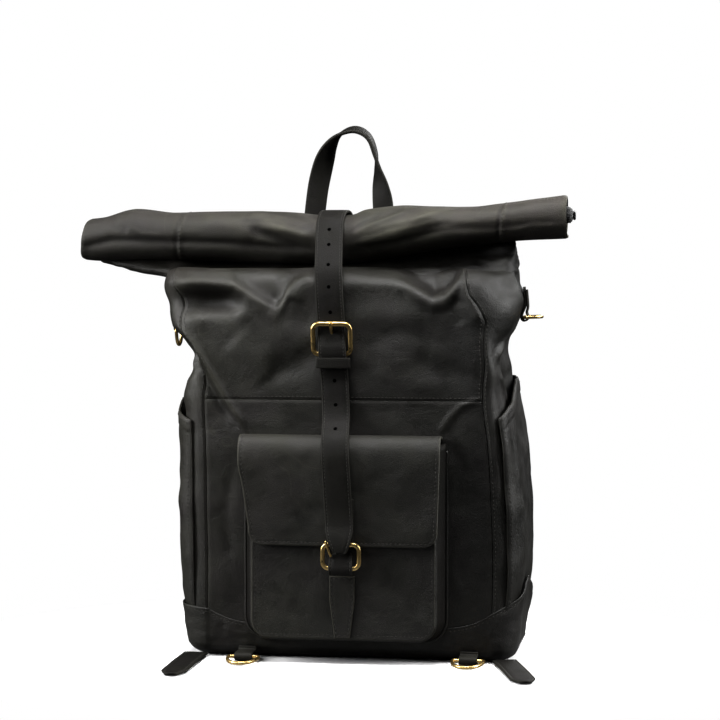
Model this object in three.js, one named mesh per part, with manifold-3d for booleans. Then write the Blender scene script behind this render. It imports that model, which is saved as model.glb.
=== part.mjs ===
// Roll-top leather backpack, modelled as an assembly of separate pieces.
// Units: millimetres. +Z up, the front of the bag faces -Y, +X to the right as seen from the front.
// Origin: on the floor, under the middle of the base.
import * as THREE from "three";
import { mergeVertices } from "three/addons/utils/BufferGeometryUtils.js";
import Module from "manifold-3d";

const wasm = await Module();
wasm.setup();

// ---------- driving dimensions ----------
const LEATHER = 2.6; // panel leather with its turned edge
const STRAP_T = 3.2; // closing strap leather, two layers sewn together
const STRAP_W = 29; // closing strap width
const GAP = 0.5; // clearance between neighbouring pieces
const SEAM_Z = 271; // seam between the two front panels
const HOLE_RADIUS = 1.7; // round holes in the closing strap
const SLOT_HALF_WIDTH = 1.9; // slots the buckle tongues pass through
const POCKET_Y = -110; // front face of the front pocket

// Outline of the body: height, half width, front y, back y, centre x, half width of front panel
const PROFILE = [
  [0, 170, -74, 74, 3, 146],
  [12, 174.5, -80, 79, 3.5, 148],
  [45, 177.7, -83, 82, 3.7, 149],
  [100, 180, -85, 85, 4.5, 149.5],
  [150, 179, -86, 86, 3.5, 149],
  [220, 175.8, -86, 84, 1.3, 147.5],
  [270, 173.7, -85, 80, -2.7, 145.5],
  [300, 168.5, -84.5, 75, -1, 144.5],
  [322, 166, -84.5, 70, -4, 144],
  [345, 178.3, -84, 63, -9, 143],
  [370, 186.2, -83, 53, -7.2, 144],
  [390, 188.2, -80.5, 43, -11.2, 144],
  [402, 187.7, -72, 36.5, -12.3, 144],
  [408.5, 186.5, -58, 33, -12.5, 144],
];
const BODY_TOP = PROFILE.at(-1)[0];

const SIDES = [["left", -1], ["right", 1]];
const X_AXIS = [1, 0, 0];
const Y_AXIS = [0, 1, 0];

// ---------- materials ----------
const material = (name, color, { roughness, metalness = 0 }) =>
  new THREE.MeshStandardMaterial({ name, color, roughness, metalness });
const BLACK = material("leather", 0x23211e, { roughness: 0.55 });
const STRAP_LEATHER = material("strap_leather", 0x262421, { roughness: 0.5 });
const BRASS = material("brass", 0xa88a52, { roughness: 0.35, metalness: 1 });
const LINING = material("lining", 0x1c1c1e, { roughness: 0.9 });
const BOARD = material("board", 0x3a3632, { roughness: 0.9 });
const STEEL = material("steel", 0xa6a6a8, { roughness: 0.35, metalness: 1 });

// ---------- numbers and vectors ----------
const radians = (degrees) => (degrees * Math.PI) / 180;
const mix = (from, to, share) => from + (to - from) * share;
// Values of make(share) for evenly spaced shares from 0 to 1.
const spread = (steps, make) => Array.from({ length: steps + 1 }, (_, i) => make(i / steps));
const add = (a, b, scale = 1) => a.map((value, k) => value + b[k] * scale);
const subtract = (a, b) => add(a, b, -1);
const cross = (a, b) => [
  a[1] * b[2] - a[2] * b[1],
  a[2] * b[0] - a[0] * b[2],
  a[0] * b[1] - a[1] * b[0],
];
const dot = (a, b) => a[0] * b[0] + a[1] * b[1] + a[2] * b[2];
function unit(vector) {
  const length = Math.hypot(...vector) || 1;
  return vector.map((value) => value / length);
}
function centroid(points) {
  const centre = [0, 0, 0];
  for (const point of points) point.forEach((value, k) => (centre[k] += value / points.length));
  return centre;
}

// ---------- meshes from points ----------
// Indexed geometry, its triangles turned to face outwards (positive volume).
function geometry(points, triangles) {
  let volume = 0;
  for (const [a, b, c] of triangles) volume += dot(points[a], cross(points[b], points[c]));
  const index = triangles.flatMap(([a, b, c]) => (volume > 0 ? [a, b, c] : [a, c, b]));
  const result = new THREE.BufferGeometry();
  const positions = new Float32Array(points.flat());
  result.setAttribute("position", new THREE.BufferAttribute(positions, 3));
  result.setIndex(index);
  return result;
}
// A closed sheet; columns[i][j] is a pair of points, [outer, inner].
function slab(columns) {
  const lastI = columns.length - 1;
  const lastJ = columns[0].length - 1;
  const outer = (i, j) => 2 * (i * (lastJ + 1) + j);
  const inner = (i, j) => outer(i, j) + 1;
  const triangles = [];
  const quad = (a, b, c, d) => triangles.push([a, b, c], [a, c, d]);
  for (let i = 0; i < lastI; i++)
    for (let j = 0; j < lastJ; j++) {
      quad(outer(i, j), outer(i + 1, j), outer(i + 1, j + 1), outer(i, j + 1));
      quad(inner(i, j), inner(i, j + 1), inner(i + 1, j + 1), inner(i + 1, j));
    }
  for (let i = 0; i < lastI; i++) {
    quad(outer(i + 1, 0), outer(i, 0), inner(i, 0), inner(i + 1, 0));
    quad(outer(i, lastJ), outer(i + 1, lastJ), inner(i + 1, lastJ), inner(i, lastJ));
  }
  for (let j = 0; j < lastJ; j++) {
    quad(outer(0, j), outer(0, j + 1), inner(0, j + 1), inner(0, j));
    quad(outer(lastI, j + 1), outer(lastI, j), inner(lastI, j), inner(lastI, j + 1));
  }
  return geometry(columns.flat(2), triangles);
}
// Triangles between neighbouring rings of equal size; closed also joins the last to the first.
function bands(rings, closed) {
  const size = rings[0].length;
  const triangles = [];
  for (let k = 0; k < (closed ? rings.length : rings.length - 1); k++) {
    const start = k * size;
    const next = ((k + 1) % rings.length) * size;
    for (let i = 0; i < size; i++) {
      const j = (i + 1) % size;
      triangles.push([start + i, start + j, next + j], [start + i, next + j, next + i]);
    }
  }
  return triangles;
}
const loopLoft = (rings) => geometry(rings.flat(), bands(rings, true));
// Joins rings and caps both ends with a fan round a centre point.
function loft(rings, capCentres = [centroid(rings[0]), centroid(rings.at(-1))]) {
  const size = rings[0].length;
  const total = rings.length * size;
  const triangles = bands(rings, false);
  for (let i = 0; i < size; i++) {
    const j = (i + 1) % size;
    triangles.push([total, j, i], [total + 1, total - size + i, total - size + j]);
  }
  return geometry([...rings.flat(), ...capCentres], triangles);
}
// Prisms of a flat outline along Z, Y and X.
const prismXY = (outline, ...ends) => loft(ends.map((z) => outline.map(([x, y]) => [x, y, z])));
const prismXZ = (outline, ...ends) => loft(ends.map((y) => outline.map(([x, z]) => [x, y, z])));
const prismYZ = (outline, ...ends) => loft(ends.map((x) => outline.map(([y, z]) => [x, y, z])));
// Prism along X of a Y-Z outline that may be concave.
function extrudeAlongX(outline, x0, x1) {
  const shape = new THREE.Shape(outline.map(([y, z]) => new THREE.Vector2(y, z)));
  const options = { depth: x1 - x0, bevelEnabled: false, steps: 1 };
  const result = new THREE.ExtrudeGeometry(shape, options);
  // local x -> Y, local y -> Z, local z -> X
  const axes = [Y_AXIS, [0, 0, 1], X_AXIS].map((axis) => new THREE.Vector3(...axis));
  result.applyMatrix4(new THREE.Matrix4().makeBasis(...axes));
  result.translate(x0, 0, 0);
  return result;
}

// ---------- flat outlines ----------
const rectangle = (x0, x1, y0, y1) => [[x0, y0], [x1, y0], [x1, y1], [x0, y1]];
// turn is in steps of the point spacing
const ellipse = (centreX, centreY, radiusX, radiusY, count, turn = 0) =>
  Array.from({ length: count }, (_, k) => {
    const angle = ((k + turn) * 2 * Math.PI) / count;
    return [centreX + radiusX * Math.cos(angle), centreY + radiusY * Math.sin(angle)];
  });
function roundRect(x0, x1, y0, y1, radius, steps = 4) {
  const corners = [
    [x1 - radius, y0 + radius, -90],
    [x1 - radius, y1 - radius, 0],
    [x0 + radius, y1 - radius, 90],
    [x0 + radius, y0 + radius, 180],
  ];
  return corners.flatMap(([x, y, start]) => spread(steps, (share) => {
    const angle = radians(start + 90 * share);
    return [x + radius * Math.cos(angle), y + radius * Math.sin(angle)];
  }));
}
// The two rounded lower corners of an X-Z outline, right one first.
function lowerCorners({ left, right, bottom, radius }, steps) {
  const arc = (place) => spread(steps, (share) => {
    const angle = (share * Math.PI) / 2;
    return place(radius * Math.cos(angle), radius * Math.sin(angle));
  });
  const centreZ = bottom + radius;
  return [
    ...arc((cosine, sine) => [right - radius + cosine, centreZ - sine]),
    ...arc((cosine, sine) => [left + radius - sine, centreZ - cosine]),
  ];
}

// ---------- straps and wires ----------
// Flat strip through stations { point, across, halfWidth, thickness }.
function strap(stations) {
  return loft(stations.map(({ point, across, halfWidth, thickness }, i) => {
    const before = stations[Math.max(0, i - 1)].point;
    const after = stations[Math.min(stations.length - 1, i + 1)].point;
    const along = unit(subtract(after, before));
    const normal = unit(cross(along, across));
    const side = unit(cross(normal, along));
    return rectangle(-halfWidth, halfWidth, -thickness / 2, thickness / 2)
      .map(([sideways, out]) => add(add(point, side, sideways), normal, out));
  }));
}
// Strap with its width along X. Rows: y, z and, where they vary, half width and thickness.
function strapAcrossX(rows, { xAt, halfWidth, thickness }) {
  return strap(rows.map(([y, z, ownHalfWidth = halfWidth, ownThickness = thickness]) => ({
    point: [xAt(z), y, z],
    across: X_AXIS,
    halfWidth: ownHalfWidth,
    thickness: ownThickness,
  })));
}
const wireRing = (point, side, up, radius, count) =>
  ellipse(0, 0, radius, radius, count).map(([p, q]) => add(add(point, side, p), up, q));
// A wire bent into a closed flat loop with the given plane normal.
function wireLoop(points, radius, normal) {
  const count = points.length;
  const up = unit(normal);
  return loopLoft(points.map((point, i) => {
    const along = unit(subtract(points[(i + 1) % count], points[(i - 1 + count) % count]));
    return wireRing(point, unit(cross(along, up)), up, radius, 8);
  }));
}
function wire(points, radius) {
  const last = points.length - 1;
  return loft(points.map((point, i) => {
    const step = subtract(points[Math.min(last, i + 1)], points[Math.max(0, i - 1)]);
    const along = unit(step);
    // near X, tilted a little so that it is never parallel to the wire
    const side = unit(cross(along, [1, 0.02, 0.01]));
    return wireRing(point, side, cross(side, along), radius, 6);
  }));
}
// Rectangular wire frame standing in an X-Z plane.
function buckleFrame({ x, y, z, width, height, corner, radius }) {
  const outline = roundRect(x - width / 2, x + width / 2, z - height / 2, z + height / 2, corner);
  return wireLoop(outline.map(([pointX, pointZ]) => [pointX, y, pointZ]), radius, Y_AXIS);
}
// D-shaped ring: straight bar along one direction, bow reaching away from it along the other.
function dRing({ centre, bar, away, width, height, radius }) {
  const bend = 2.4; // how far from the bar the bow begins
  const straight = [-2, -1, 0, 1, 2].map((i) => [(i / 2) * (width / 2 - 2), 0]);
  const bow = spread(10, (share) => {
    const angle = share * Math.PI;
    return [(width / 2) * Math.cos(angle), bend + (height - bend) * Math.sin(angle)];
  });
  const points = [...straight, ...bow].map(([p, q]) => add(add(centre, bar, p), away, q));
  return wireLoop(points, radius, cross(bar, away));
}

// ---------- cutting ----------
function toSolid(source) {
  source.deleteAttribute("normal");
  source.deleteAttribute("uv");
  const merged = mergeVertices(source, 1e-3);
  return new wasm.Manifold(new wasm.Mesh({
    numProp: 3,
    vertProperties: new Float32Array(merged.attributes.position.array),
    triVerts: new Uint32Array(merged.index.array),
  }));
}
function fromSolid(solid) {
  const mesh = solid.getMesh();
  const result = new THREE.BufferGeometry();
  const positions = new Float32Array(mesh.vertProperties);
  result.setAttribute("position", new THREE.BufferAttribute(positions, 3));
  result.setIndex(Array.from(mesh.triVerts));
  return result;
}
const cut = (body, ...tools) =>
  fromSolid(tools.reduce((solid, tool) => solid.subtract(toSolid(tool)), toSolid(body)));
const common = (first, second) => fromSolid(toSolid(first).intersect(toSolid(second)));
// Cutters along Y for round holes and for an upright slot.
const holeCutters = (heights, xAt, y0, y1) =>
  heights.map((z) => prismXZ(ellipse(xAt(z), z, HOLE_RADIUS, HOLE_RADIUS, 8, 0.5), y0, y1));
const slotCutter = (x, z0, z1, y0, y1) =>
  prismXZ(rectangle(x - SLOT_HALF_WIDTH, x + SLOT_HALF_WIDTH, z0, z1), y0, y1);

// ---------- assembly ----------
const root = new THREE.Group();
function put(name, shape, finish, parent = root) {
  const mesh = new THREE.Mesh(shape, finish.clone());
  mesh.name = name;
  parent.add(mesh);
}
function addGroup(parent = root) {
  const group = new THREE.Group();
  parent.add(group);
  return group;
}

// ---------- the bag's outline ----------
const named = ([, halfWidth, frontY, backY, centreX, panelHalf]) =>
  ({ halfWidth, frontY, backY, centreX, panelHalf });
// Smooth (cubic Hermite) reading of PROFILE at height z.
function outlineAt(z) {
  const last = PROFILE.length - 1;
  if (z <= PROFILE[0][0]) return named(PROFILE[0]);
  if (z >= BODY_TOP) return named(PROFILE[last]);
  let i = 0;
  while (PROFILE[i + 1][0] < z) i++;
  const before = PROFILE[Math.max(0, i - 1)];
  const low = PROFILE[i];
  const high = PROFILE[i + 1];
  const after = PROFILE[Math.min(last, i + 2)];
  const step = high[0] - low[0];
  const share = (z - low[0]) / step;
  const square = share * share;
  const cube = square * share;
  return named(low.map((value, k) => {
    const lowSlope = ((high[k] - before[k]) / (high[0] - before[0])) * step;
    const highSlope = ((after[k] - value) / (after[0] - low[0])) * step;
    return (2 * cube - 3 * square + 1) * value + (cube - 2 * square + share) * lowSlope
      + (-2 * cube + 3 * square) * high[k] + (cube - square) * highSlope;
  }));
}
// Point on the outline at height z, moved inwards by inset. On the "front" and "back" walls place
// runs from -1 to 1 with x; on "right" and "left" from 0 at the front seam to 1 at the back seam.
function wallPoint(wall, place, z, inset = 0) {
  const { halfWidth, frontY, backY, centreX, panelHalf } = outlineAt(z);
  if (wall === "front") return [centreX + place * panelHalf, frontY + inset, z];
  if (wall === "back") return [centreX + place * panelHalf, backY - inset, z];
  const depth = backY - frontY;
  const radius = Math.min(halfWidth - panelHalf, depth / 2 - 1);
  const arc = (Math.PI / 2) * radius;
  const flat = depth - 2 * radius;
  const travel = place * (2 * arc + flat);
  const sign = wall === "right" ? 1 : -1;
  let x = halfWidth - inset;
  let y = frontY + radius + (travel - arc);
  if (travel < arc) {
    const angle = travel / radius;
    x = halfWidth - radius + (radius - inset) * Math.sin(angle);
    y = frontY + radius - (radius - inset) * Math.cos(angle);
  } else if (travel >= arc + flat) {
    const angle = (travel - arc - flat) / radius;
    x = halfWidth - radius + (radius - inset) * Math.cos(angle);
    y = backY - radius + (radius - inset) * Math.sin(angle);
  }
  return [centreX + sign * x, y, z];
}
// [wall, place] pairs once round the bag.
function roundTheBag(frontSteps, sideSteps) {
  const wall = (name, steps, placeAt) =>
    Array.from({ length: steps }, (_, i) => [name, placeAt(i / steps)]);
  return [
    ...wall("front", frontSteps, (share) => mix(-1, 1, share)),
    ...wall("right", sideSteps, (share) => share),
    ...wall("back", frontSteps, (share) => mix(1, -1, share)),
    ...wall("left", sideSteps, (share) => 1 - share),
  ];
}
// Upper edge of the base piece: low in the middle of the front and back, higher on the sides.
const bootEdge = (wall, place) =>
  wall === "front" || wall === "back"
    ? 34 + 22 * place * place
    : 56 + 12 * Math.sin(Math.PI * place);
// Pairs of outer and inner points up a wall.
const wallColumn = (wall, place, bottom, top, rows, inset = 0, thickness = LEATHER) =>
  spread(rows, (share) => {
    const z = mix(bottom, top, share);
    return [wallPoint(wall, place, z, inset), wallPoint(wall, place, z, inset + thickness)];
  });
// Sheet on one wall; without a bottom it starts just above the base piece.
function panel({ wall, from, to, bottom, top, columns, rows, inset, thickness }) {
  return slab(spread(columns, (share) => {
    const place = mix(from, to, share);
    const low = bottom ?? bootEdge(wall, place) + GAP;
    return wallColumn(wall, place, low, top, rows, inset, thickness);
  }));
}

// ---------- body shell ----------
function addFrontPanels() {
  const across = { wall: "front", from: -1, to: 1, columns: 10 };
  const upper = panel({ ...across, bottom: SEAM_Z + GAP, top: BODY_TOP, rows: 10 });
  put("front_panel_upper", upper, BLACK);
  put("front_panel_lower", panel({ ...across, top: SEAM_Z, rows: 6 }), BLACK);
}
function addSidePanels() {
  const spec = { from: 0.012, to: 0.988, top: BODY_TOP, columns: 12, rows: 16 };
  for (const [side] of SIDES) put("side_panel_" + side, panel({ wall: side, ...spec }), BLACK);
}
// The back panel carries on above the bag's top, behind the roll.
function addBackPanel() {
  const extension = [[29.8, 422], [27.8, 438], [27.2, 449]]; // outer y, z
  const { centreX, panelHalf } = outlineAt(BODY_TOP);
  put("back_panel", slab(spread(10, (share) => {
    const place = mix(-1, 1, share);
    const x = centreX + place * panelHalf;
    return [
      ...wallColumn("back", place, bootEdge("back", place) + GAP, BODY_TOP, 11),
      ...extension.map(([y, z]) => [[x, y, z], [x, y - LEATHER, z]]),
    ];
  })), BLACK);
}
// Base: one piece that wraps under the bag and up its walls.
function addBaseBoot() {
  const around = roundTheBag(10, 10);
  const wallFoot = 12;
  const floor = 3.2; // thickness under the bag
  const level = (z, inset) => around.map(([wall, place]) => wallPoint(wall, place, z, inset));
  // ring part of the way up from the foot of the wall to the upper edge
  const upWall = (share, inset) => around.map(([wall, place]) =>
    wallPoint(wall, place, mix(wallFoot, bootEdge(wall, place), share), inset));
  const inner = [
    level(floor, 14.5), level(4, 8.4), level(6, 5.4), level(12.4, LEATHER + 0.4),
    upWall(0.5, LEATHER + 0.1), upWall(1, LEATHER),
  ];
  const outer = [
    upWall(1, 0), upWall(0.5, 0), level(wallFoot, 0), level(4, 2.2), level(0.6, 7), level(0, 14),
  ];
  put("base_boot", loft([...inner, ...outer], [[-3, 0, floor], [-3, 0, 0]]), BLACK);
}

// ---------- inside ----------
function addStiffener() {
  put("base_stiffener", prismXY(roundRect(-154, 160, -64, 64, 30), 4.2, 7.2), BOARD);
}
function addLiningBag() {
  const around = roundTheBag(4, 9);
  const lowestOutline = 12; // rings below this height keep the outline found here
  const outerInset = 6.2;
  const innerInset = outerInset + 1.2;
  const levels = [60, 150, 220, 270, 300, 322, 345];
  const ring = (z, inset) => around.map(([wall, place]) => {
    const [x, y] = wallPoint(wall, place, Math.max(z, lowestOutline), inset);
    return [x, y, z];
  });
  const outer = loft([
    ring(8.4, 14),
    ring(16, outerInset + 2),
    ...levels.map((z) => ring(z, outerInset)),
    ring(370, outerInset + 0.4),
  ]);
  const cavity = loft([
    ring(372, innerInset),
    ...levels.toReversed().map((z) => ring(z, innerInset)),
    ring(16.6, innerInset + 2),
    ring(9.8, 15),
  ]);
  put("lining_bag", cut(outer, cavity), LINING);
}
// Padded sleeve against the back.
function addSleeve() {
  put("laptop_sleeve", prismXY(roundRect(-135, 129, 52, 60, 3, 2), 20, 250), LINING);
}

// ---------- side pockets ----------
// Each runs from just behind the front seam to near the back seam; its mouth rises to the back.
function addSidePocket(side, mouth, rise) {
  const thickness = 2.2;
  put("side_pocket_" + side, slab(spread(11, (along) => {
    const place = mix(0.07, 0.92, along);
    const bottom = bootEdge(side, place) + 2;
    const top = mouth + rise * Math.pow(Math.min(1, along / 0.4), 0.85);
    const fullness = 7.8 * Math.pow(Math.sin(Math.PI * along), 0.7);
    return spread(7, (up) => {
      const z = mix(bottom, top, up);
      const bulge = 1.4 + fullness * Math.min(1, up * 2.2 + 0.05);
      return [
        wallPoint(side, place, z, -(bulge + thickness)),
        wallPoint(side, place, z, -bulge),
      ];
    });
  })), BLACK);
}

// ---------- front pocket ----------
const POCKET_BACK = { left: -103, right: 106, bottom: 22, radius: 24 };
const POCKET_FACE = { left: -94, right: 98, bottom: 26, radius: 19 };
// X-Z outline with rounded lower corners and a straight top.
const pocketOutline = (shape, top) => [
  [shape.right, top],
  ...lowerCorners(shape, 5),
  [shape.left, top],
];
function addPocketGusset() {
  const wall = 2.4;
  const top = 228;
  const backY = -87.4;
  const frontY = POCKET_Y + 2.7;
  const place = (outline, y) => outline.map(([x, z]) => [x, y, z]);
  const outer = loft([
    place(pocketOutline(POCKET_BACK, top), backY),
    place(pocketOutline(POCKET_FACE, top), frontY),
  ]);
  // the cavity follows the same taper and runs out past both ends and the top
  const cavityOutline = ({ left, right, bottom, radius }) => pocketOutline(
    { left: left + wall, right: right - wall, bottom: bottom + wall, radius: radius - 2 },
    top + 2,
  );
  const cavityBack = cavityOutline(POCKET_BACK);
  const cavityFront = cavityOutline(POCKET_FACE);
  const cavityRing = (y) => {
    const share = (y - backY) / (frontY - backY);
    return cavityBack.map(([x, z], i) =>
      [mix(x, cavityFront[i][0], share), y, mix(z, cavityFront[i][1], share)]);
  };
  put("pocket_gusset", cut(outer, loft([cavityRing(-80), cavityRing(-115)])), BLACK);
}
function addPocketFront() {
  const outline = pocketOutline(POCKET_FACE, 222);
  put("pocket_front", prismXZ(outline, POCKET_Y, POCKET_Y + 2.4), BLACK);
}
// Tapered patch that holds the strap end, sewn on the pocket front.
function addEndPatch() {
  const outline = [[-11.5, 92], [-11.5, 66], [-6.5, 27.6], [10, 27.6], [15, 66], [15, 92]];
  put("strap_end_patch", prismXZ(outline, POCKET_Y - 0.4, POCKET_Y - 2.8), STRAP_LEATHER);
}
function addPocketMagnet() {
  const disc = prismXZ(ellipse(2, 108, 8, 8, 12), POCKET_Y + 2.9, POCKET_Y + 5.3);
  put("pocket_magnet", disc, STEEL);
}

// ---------- pocket flap ----------
// y, z of the middle of the sheet, from the front panel over the pocket and down in front of it
const FLAP_LINE = [
  [-87.6, 233], [-95, 234.6], [-103, 234], [-109, 229.5],
  [-112.6, 221], [-113.4, 207], [-113.4, 125],
];
function addFlapSheet(flap) {
  const normals = FLAP_LINE.map((_, i) => {
    const before = FLAP_LINE[Math.max(0, i - 1)];
    const after = FLAP_LINE[Math.min(FLAP_LINE.length - 1, i + 1)];
    const [stepY, stepZ] = unit(subtract(after, before));
    return [-stepZ, stepY];
  });
  const offset = (distance) => FLAP_LINE.map((point, i) => add(point, normals[i], distance));
  const section = [...offset(LEATHER / 2), ...offset(-LEATHER / 2).reverse()];
  const edge = [
    [103, 250], [102.5, 205], [100.5, 141],
    ...lowerCorners({ left: -96.5, right: 100.5, bottom: 122.5, radius: 16 }, 4),
    [-96.5, 141], [-102, 180], [-107, 205], [-108, 250],
  ];
  const sheet = extrudeAlongX(section, -120, 120);
  put("pocket_flap", common(sheet, prismXZ(edge, -130, -80)), BLACK, flap);
}
function addFlapBuckle(flap) {
  const x = 1.8;
  const frame = { x, y: -120.2, z: 112, width: 38, height: 27, corner: 6, radius: 2 };
  put("pocket_buckle_frame", buckleFrame(frame), BRASS, flap);
  // passes behind the frame's top bar, over its lower bar, and ends at the patch's upper edge
  const tab = [
    [-116.3, 172, 12.5], [-116.3, 132, 12.5], [-116.5, 122], [-118.2, 115],
    [-122.2, 107], [-124, 100], [-122.6, 94.8],
  ];
  const tabShape = strapAcrossX(tab, { xAt: () => x, halfWidth: 12, thickness: 2.2 });
  put("pocket_buckle_tab", tabShape, STRAP_LEATHER, flap);
  const tongue = [
    [-13.5, -123.6, 129], [-12, -123.7, 124.5], [-10.2, -123.1, 119], [-8.2, -122.4, 113.2],
  ];
  put("pocket_buckle_tongue", wire(tongue, 1), BRASS, flap);
}
function addFlap() {
  const flap = addGroup();
  addFlapSheet(flap);
  addFlapBuckle(flap);
  const magnet = prismXZ(ellipse(2, 132.5, 8, 7, 12), POCKET_Y - 1.1, POCKET_Y - 0.3);
  put("flap_magnet", magnet, STEEL, flap);
}

// ---------- the roll ----------
const ROLL_Y = -18;
const ROLL_POWER = 2.4; // superellipse exponent of the section
// x, centre z, half height, half depth
const ROLL = [
  [-291, 438, 21.5, 29], [-270, 438.5, 23.5, 33], [-238, 442.5, 27.5, 37],
  [-196, 440.8, 25.5, 39], [-150, 441, 26.3, 40], [-100, 440.6, 27.4, 40],
  [-62, 439, 27.3, 40], [-38, 437.6, 26.6, 40], [-2, 437.6, 26.6, 40],
  [14, 441.5, 28.3, 40], [50, 446.5, 27.2, 40], [85, 448.8, 23.6, 39],
  [130, 452, 20.5, 37], [175, 456.5, 20.5, 33], [224, 461, 22.6, 30],
];
// y, z on a section round the roll's axis; 0 degrees is at the back, 90 on top.
function rollSection(degrees, centreZ, halfHeight, halfDepth) {
  const bulge = (value) => Math.sign(value) * Math.pow(Math.abs(value), 2 / ROLL_POWER);
  const angle = radians(degrees);
  return [
    ROLL_Y + halfDepth * bulge(Math.cos(angle)),
    centreZ + halfHeight * bulge(Math.sin(angle)),
  ];
}
const rollPoint = ([x, centreZ, halfHeight, halfDepth], degrees, inset) =>
  [x, ...rollSection(degrees, centreZ, halfHeight - inset, halfDepth - inset)];
function addRollBody(roll) {
  const thickness = 3;
  const outer = slab(ROLL.map((station) => spread(18, (share) => {
    const degrees = mix(15, 335, share);
    return [rollPoint(station, degrees, 0), rollPoint(station, degrees, thickness)];
  })));
  put("roll_outer", outer, BLACK, roll);
  const endInset = 3;
  const core = ROLL.map(([x, ...section], i) => {
    let coreX = x;
    if (i === 0) coreX += endInset;
    if (i === ROLL.length - 1) coreX -= endInset;
    return Array.from({ length: 16 }, (_, k) => rollPoint([coreX, ...section], k * 22.5, 4.2));
  });
  put("roll_core", loft(core), LINING, roll);
}
// End of the mouth's zip, which sticks out of the right end of the roll, with its slider.
function addMouthZip(roll) {
  put("mouth_zip_tape", prismYZ(ellipse(-20, 463, 9, 8, 10), 221.8, 231), LINING, roll);
  put("mouth_zip_slider", prismYZ(rectangle(-23, -17, 458, 467), 231.4, 234), BRASS, roll);
}
// Folded sides of the collar, near the ends of the roll; outlines in x, z.
const COLLAR_WINGS = {
  left: [[-276, 414.2], [-207, 414.2], [-207, 398.6], [-250, 406.6]],
  right: [[173.5, 410], [172, 434], [140, 430.6], [100, 425], [100, 411]],
};
function addRoll() {
  const roll = addGroup();
  addRollBody(roll);
  addMouthZip(roll);
  for (const [side, outline] of Object.entries(COLLAR_WINGS))
    put("collar_wing_" + side, prismXZ(outline, -34, -6), BLACK, roll);
}

// ---------- closing strap ----------
// The strap leans: its middle moves from lowX to highX over a rise from lowZ to highZ.
const LEAN = { lowX: 2, highX: -20, lowZ: 118, highZ: 454 };
function strapX(z) {
  const share = (z - LEAN.lowZ) / (LEAN.highZ - LEAN.lowZ);
  return mix(LEAN.lowX, LEAN.highX, Math.min(1, Math.max(0, share)));
}
const CLOSING = { xAt: strapX, halfWidth: STRAP_W / 2, thickness: STRAP_T };
// degrees round the roll, from back to front, where the strap lies on it
const OVER_ROLL = [32, 48, 66, 84, 100, 116, 132, 146];
// y, z down the front to the keeper
const STRAP_FRONT = [
  [-60, 449.5], [-68.5, 436], [-78.5, 418], [-85.4, 403], [-88.4, 386], [-88.8, 358],
  [-89.4, 345], [-91.8, 333.5], [-93.8, 325.5], [-94, 318.5], [-92.6, 312],
  [-91.2, 305.5], [-89.6, 297.5],
];
// y, z and half width (where it tapers) of the loose end below the keeper
const STRAP_TAIL = [
  [-89.5, 296.4], [-90.5, 280], [-93, 262], [-98, 250], [-106.5, 240], [-114, 231],
  [-118.4, 217], [-119.6, 185], [-119.8, 160], [-121, 146],
  [-124.4, 134, 14], [-126.4, 126, 11.2], [-126.6, 117, 7.8],
];
// y, z of the fixed rear end, sewn under the yoke
const STRAP_REAR = [
  [37.2, 406.5], [34.9, 413], [32.4, 425], [31, 440],
  [29.8, 447.5], [28.3, 451.4], [25.2, 454.8], [20.9, 456.2],
];
function addStrapBody(closing) {
  const overRoll = OVER_ROLL.map((degrees) => rollSection(degrees, 437.6, 29.8, 43));
  const body = strapAcrossX([...overRoll, ...STRAP_FRONT], CLOSING);
  const holes = holeCutters([450, 440, 419, 395.5, 369.7], strapX, -100, -50);
  const slot = slotCutter(strapX(340), 335, 348.5, -100, -84);
  put("closure_strap", cut(body, ...holes, slot), STRAP_LEATHER, closing);
}
function addStrapTail(closing) {
  const holes = holeCutters([290, 274.7, 252.9], strapX, -125, -80);
  const tail = cut(strapAcrossX(STRAP_TAIL, CLOSING), ...holes);
  put("closure_strap_tail", tail, STRAP_LEATHER, addGroup(closing));
}
function addFrontBuckle(closing) {
  const z = 334.5;
  const x = strapX(z);
  // tipped so that the top bar stands in front of the strap and the lower bar behind it
  const frame = buckleFrame({ x: 0, y: 0, z: 0, width: 39, height: 32, corner: 6.5, radius: 2.1 });
  frame.rotateX(radians(8.5));
  frame.translate(x, -92.2, z);
  put("front_buckle_frame", frame, BRASS, closing);
  // y, z
  const tongue = [
    [-88, 322.4], [-87.9, 327.5], [-88, 333], [-88.8, 337.5], [-91.4, 341.5],
    [-95, 345], [-97.9, 348], [-98.6, 351.6], [-98.2, 355],
  ];
  put("front_buckle_tongue", wire(tongue.map((point) => [x, ...point]), 1.15), BRASS, closing);
  const chape = [[-86.6, 299], [-86.5, 310], [-86.5, 320.4]];
  const chapeShape = strapAcrossX(chape, { xAt: () => x, halfWidth: 14, thickness: 1.8 });
  put("front_buckle_chape", chapeShape, STRAP_LEATHER, closing);
}
function addKeeper(closing) {
  const x = strapX(311.5);
  const outer = prismXZ(rectangle(x - 18.2, x + 18.2, 304.5, 315.5), -97, -88);
  const opening = prismXZ(rectangle(x - 16.2, x + 16.2, 300, 320), -95.4, -88.9);
  put("strap_keeper", cut(outer, opening), STRAP_LEATHER, closing);
}
function addClosingStrap() {
  const closing = addGroup();
  addStrapBody(closing);
  addStrapTail(closing);
  addFrontBuckle(closing);
  addKeeper(closing);
  const rear = strapAcrossX(STRAP_REAR, { ...CLOSING, xAt: () => LEAN.highX });
  put("closure_strap_rear", rear, STRAP_LEATHER);
}

// ---------- yoke, handle ----------
const HANDLE_X = { left: -56, right: 22 }; // feet of the carry handle
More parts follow.
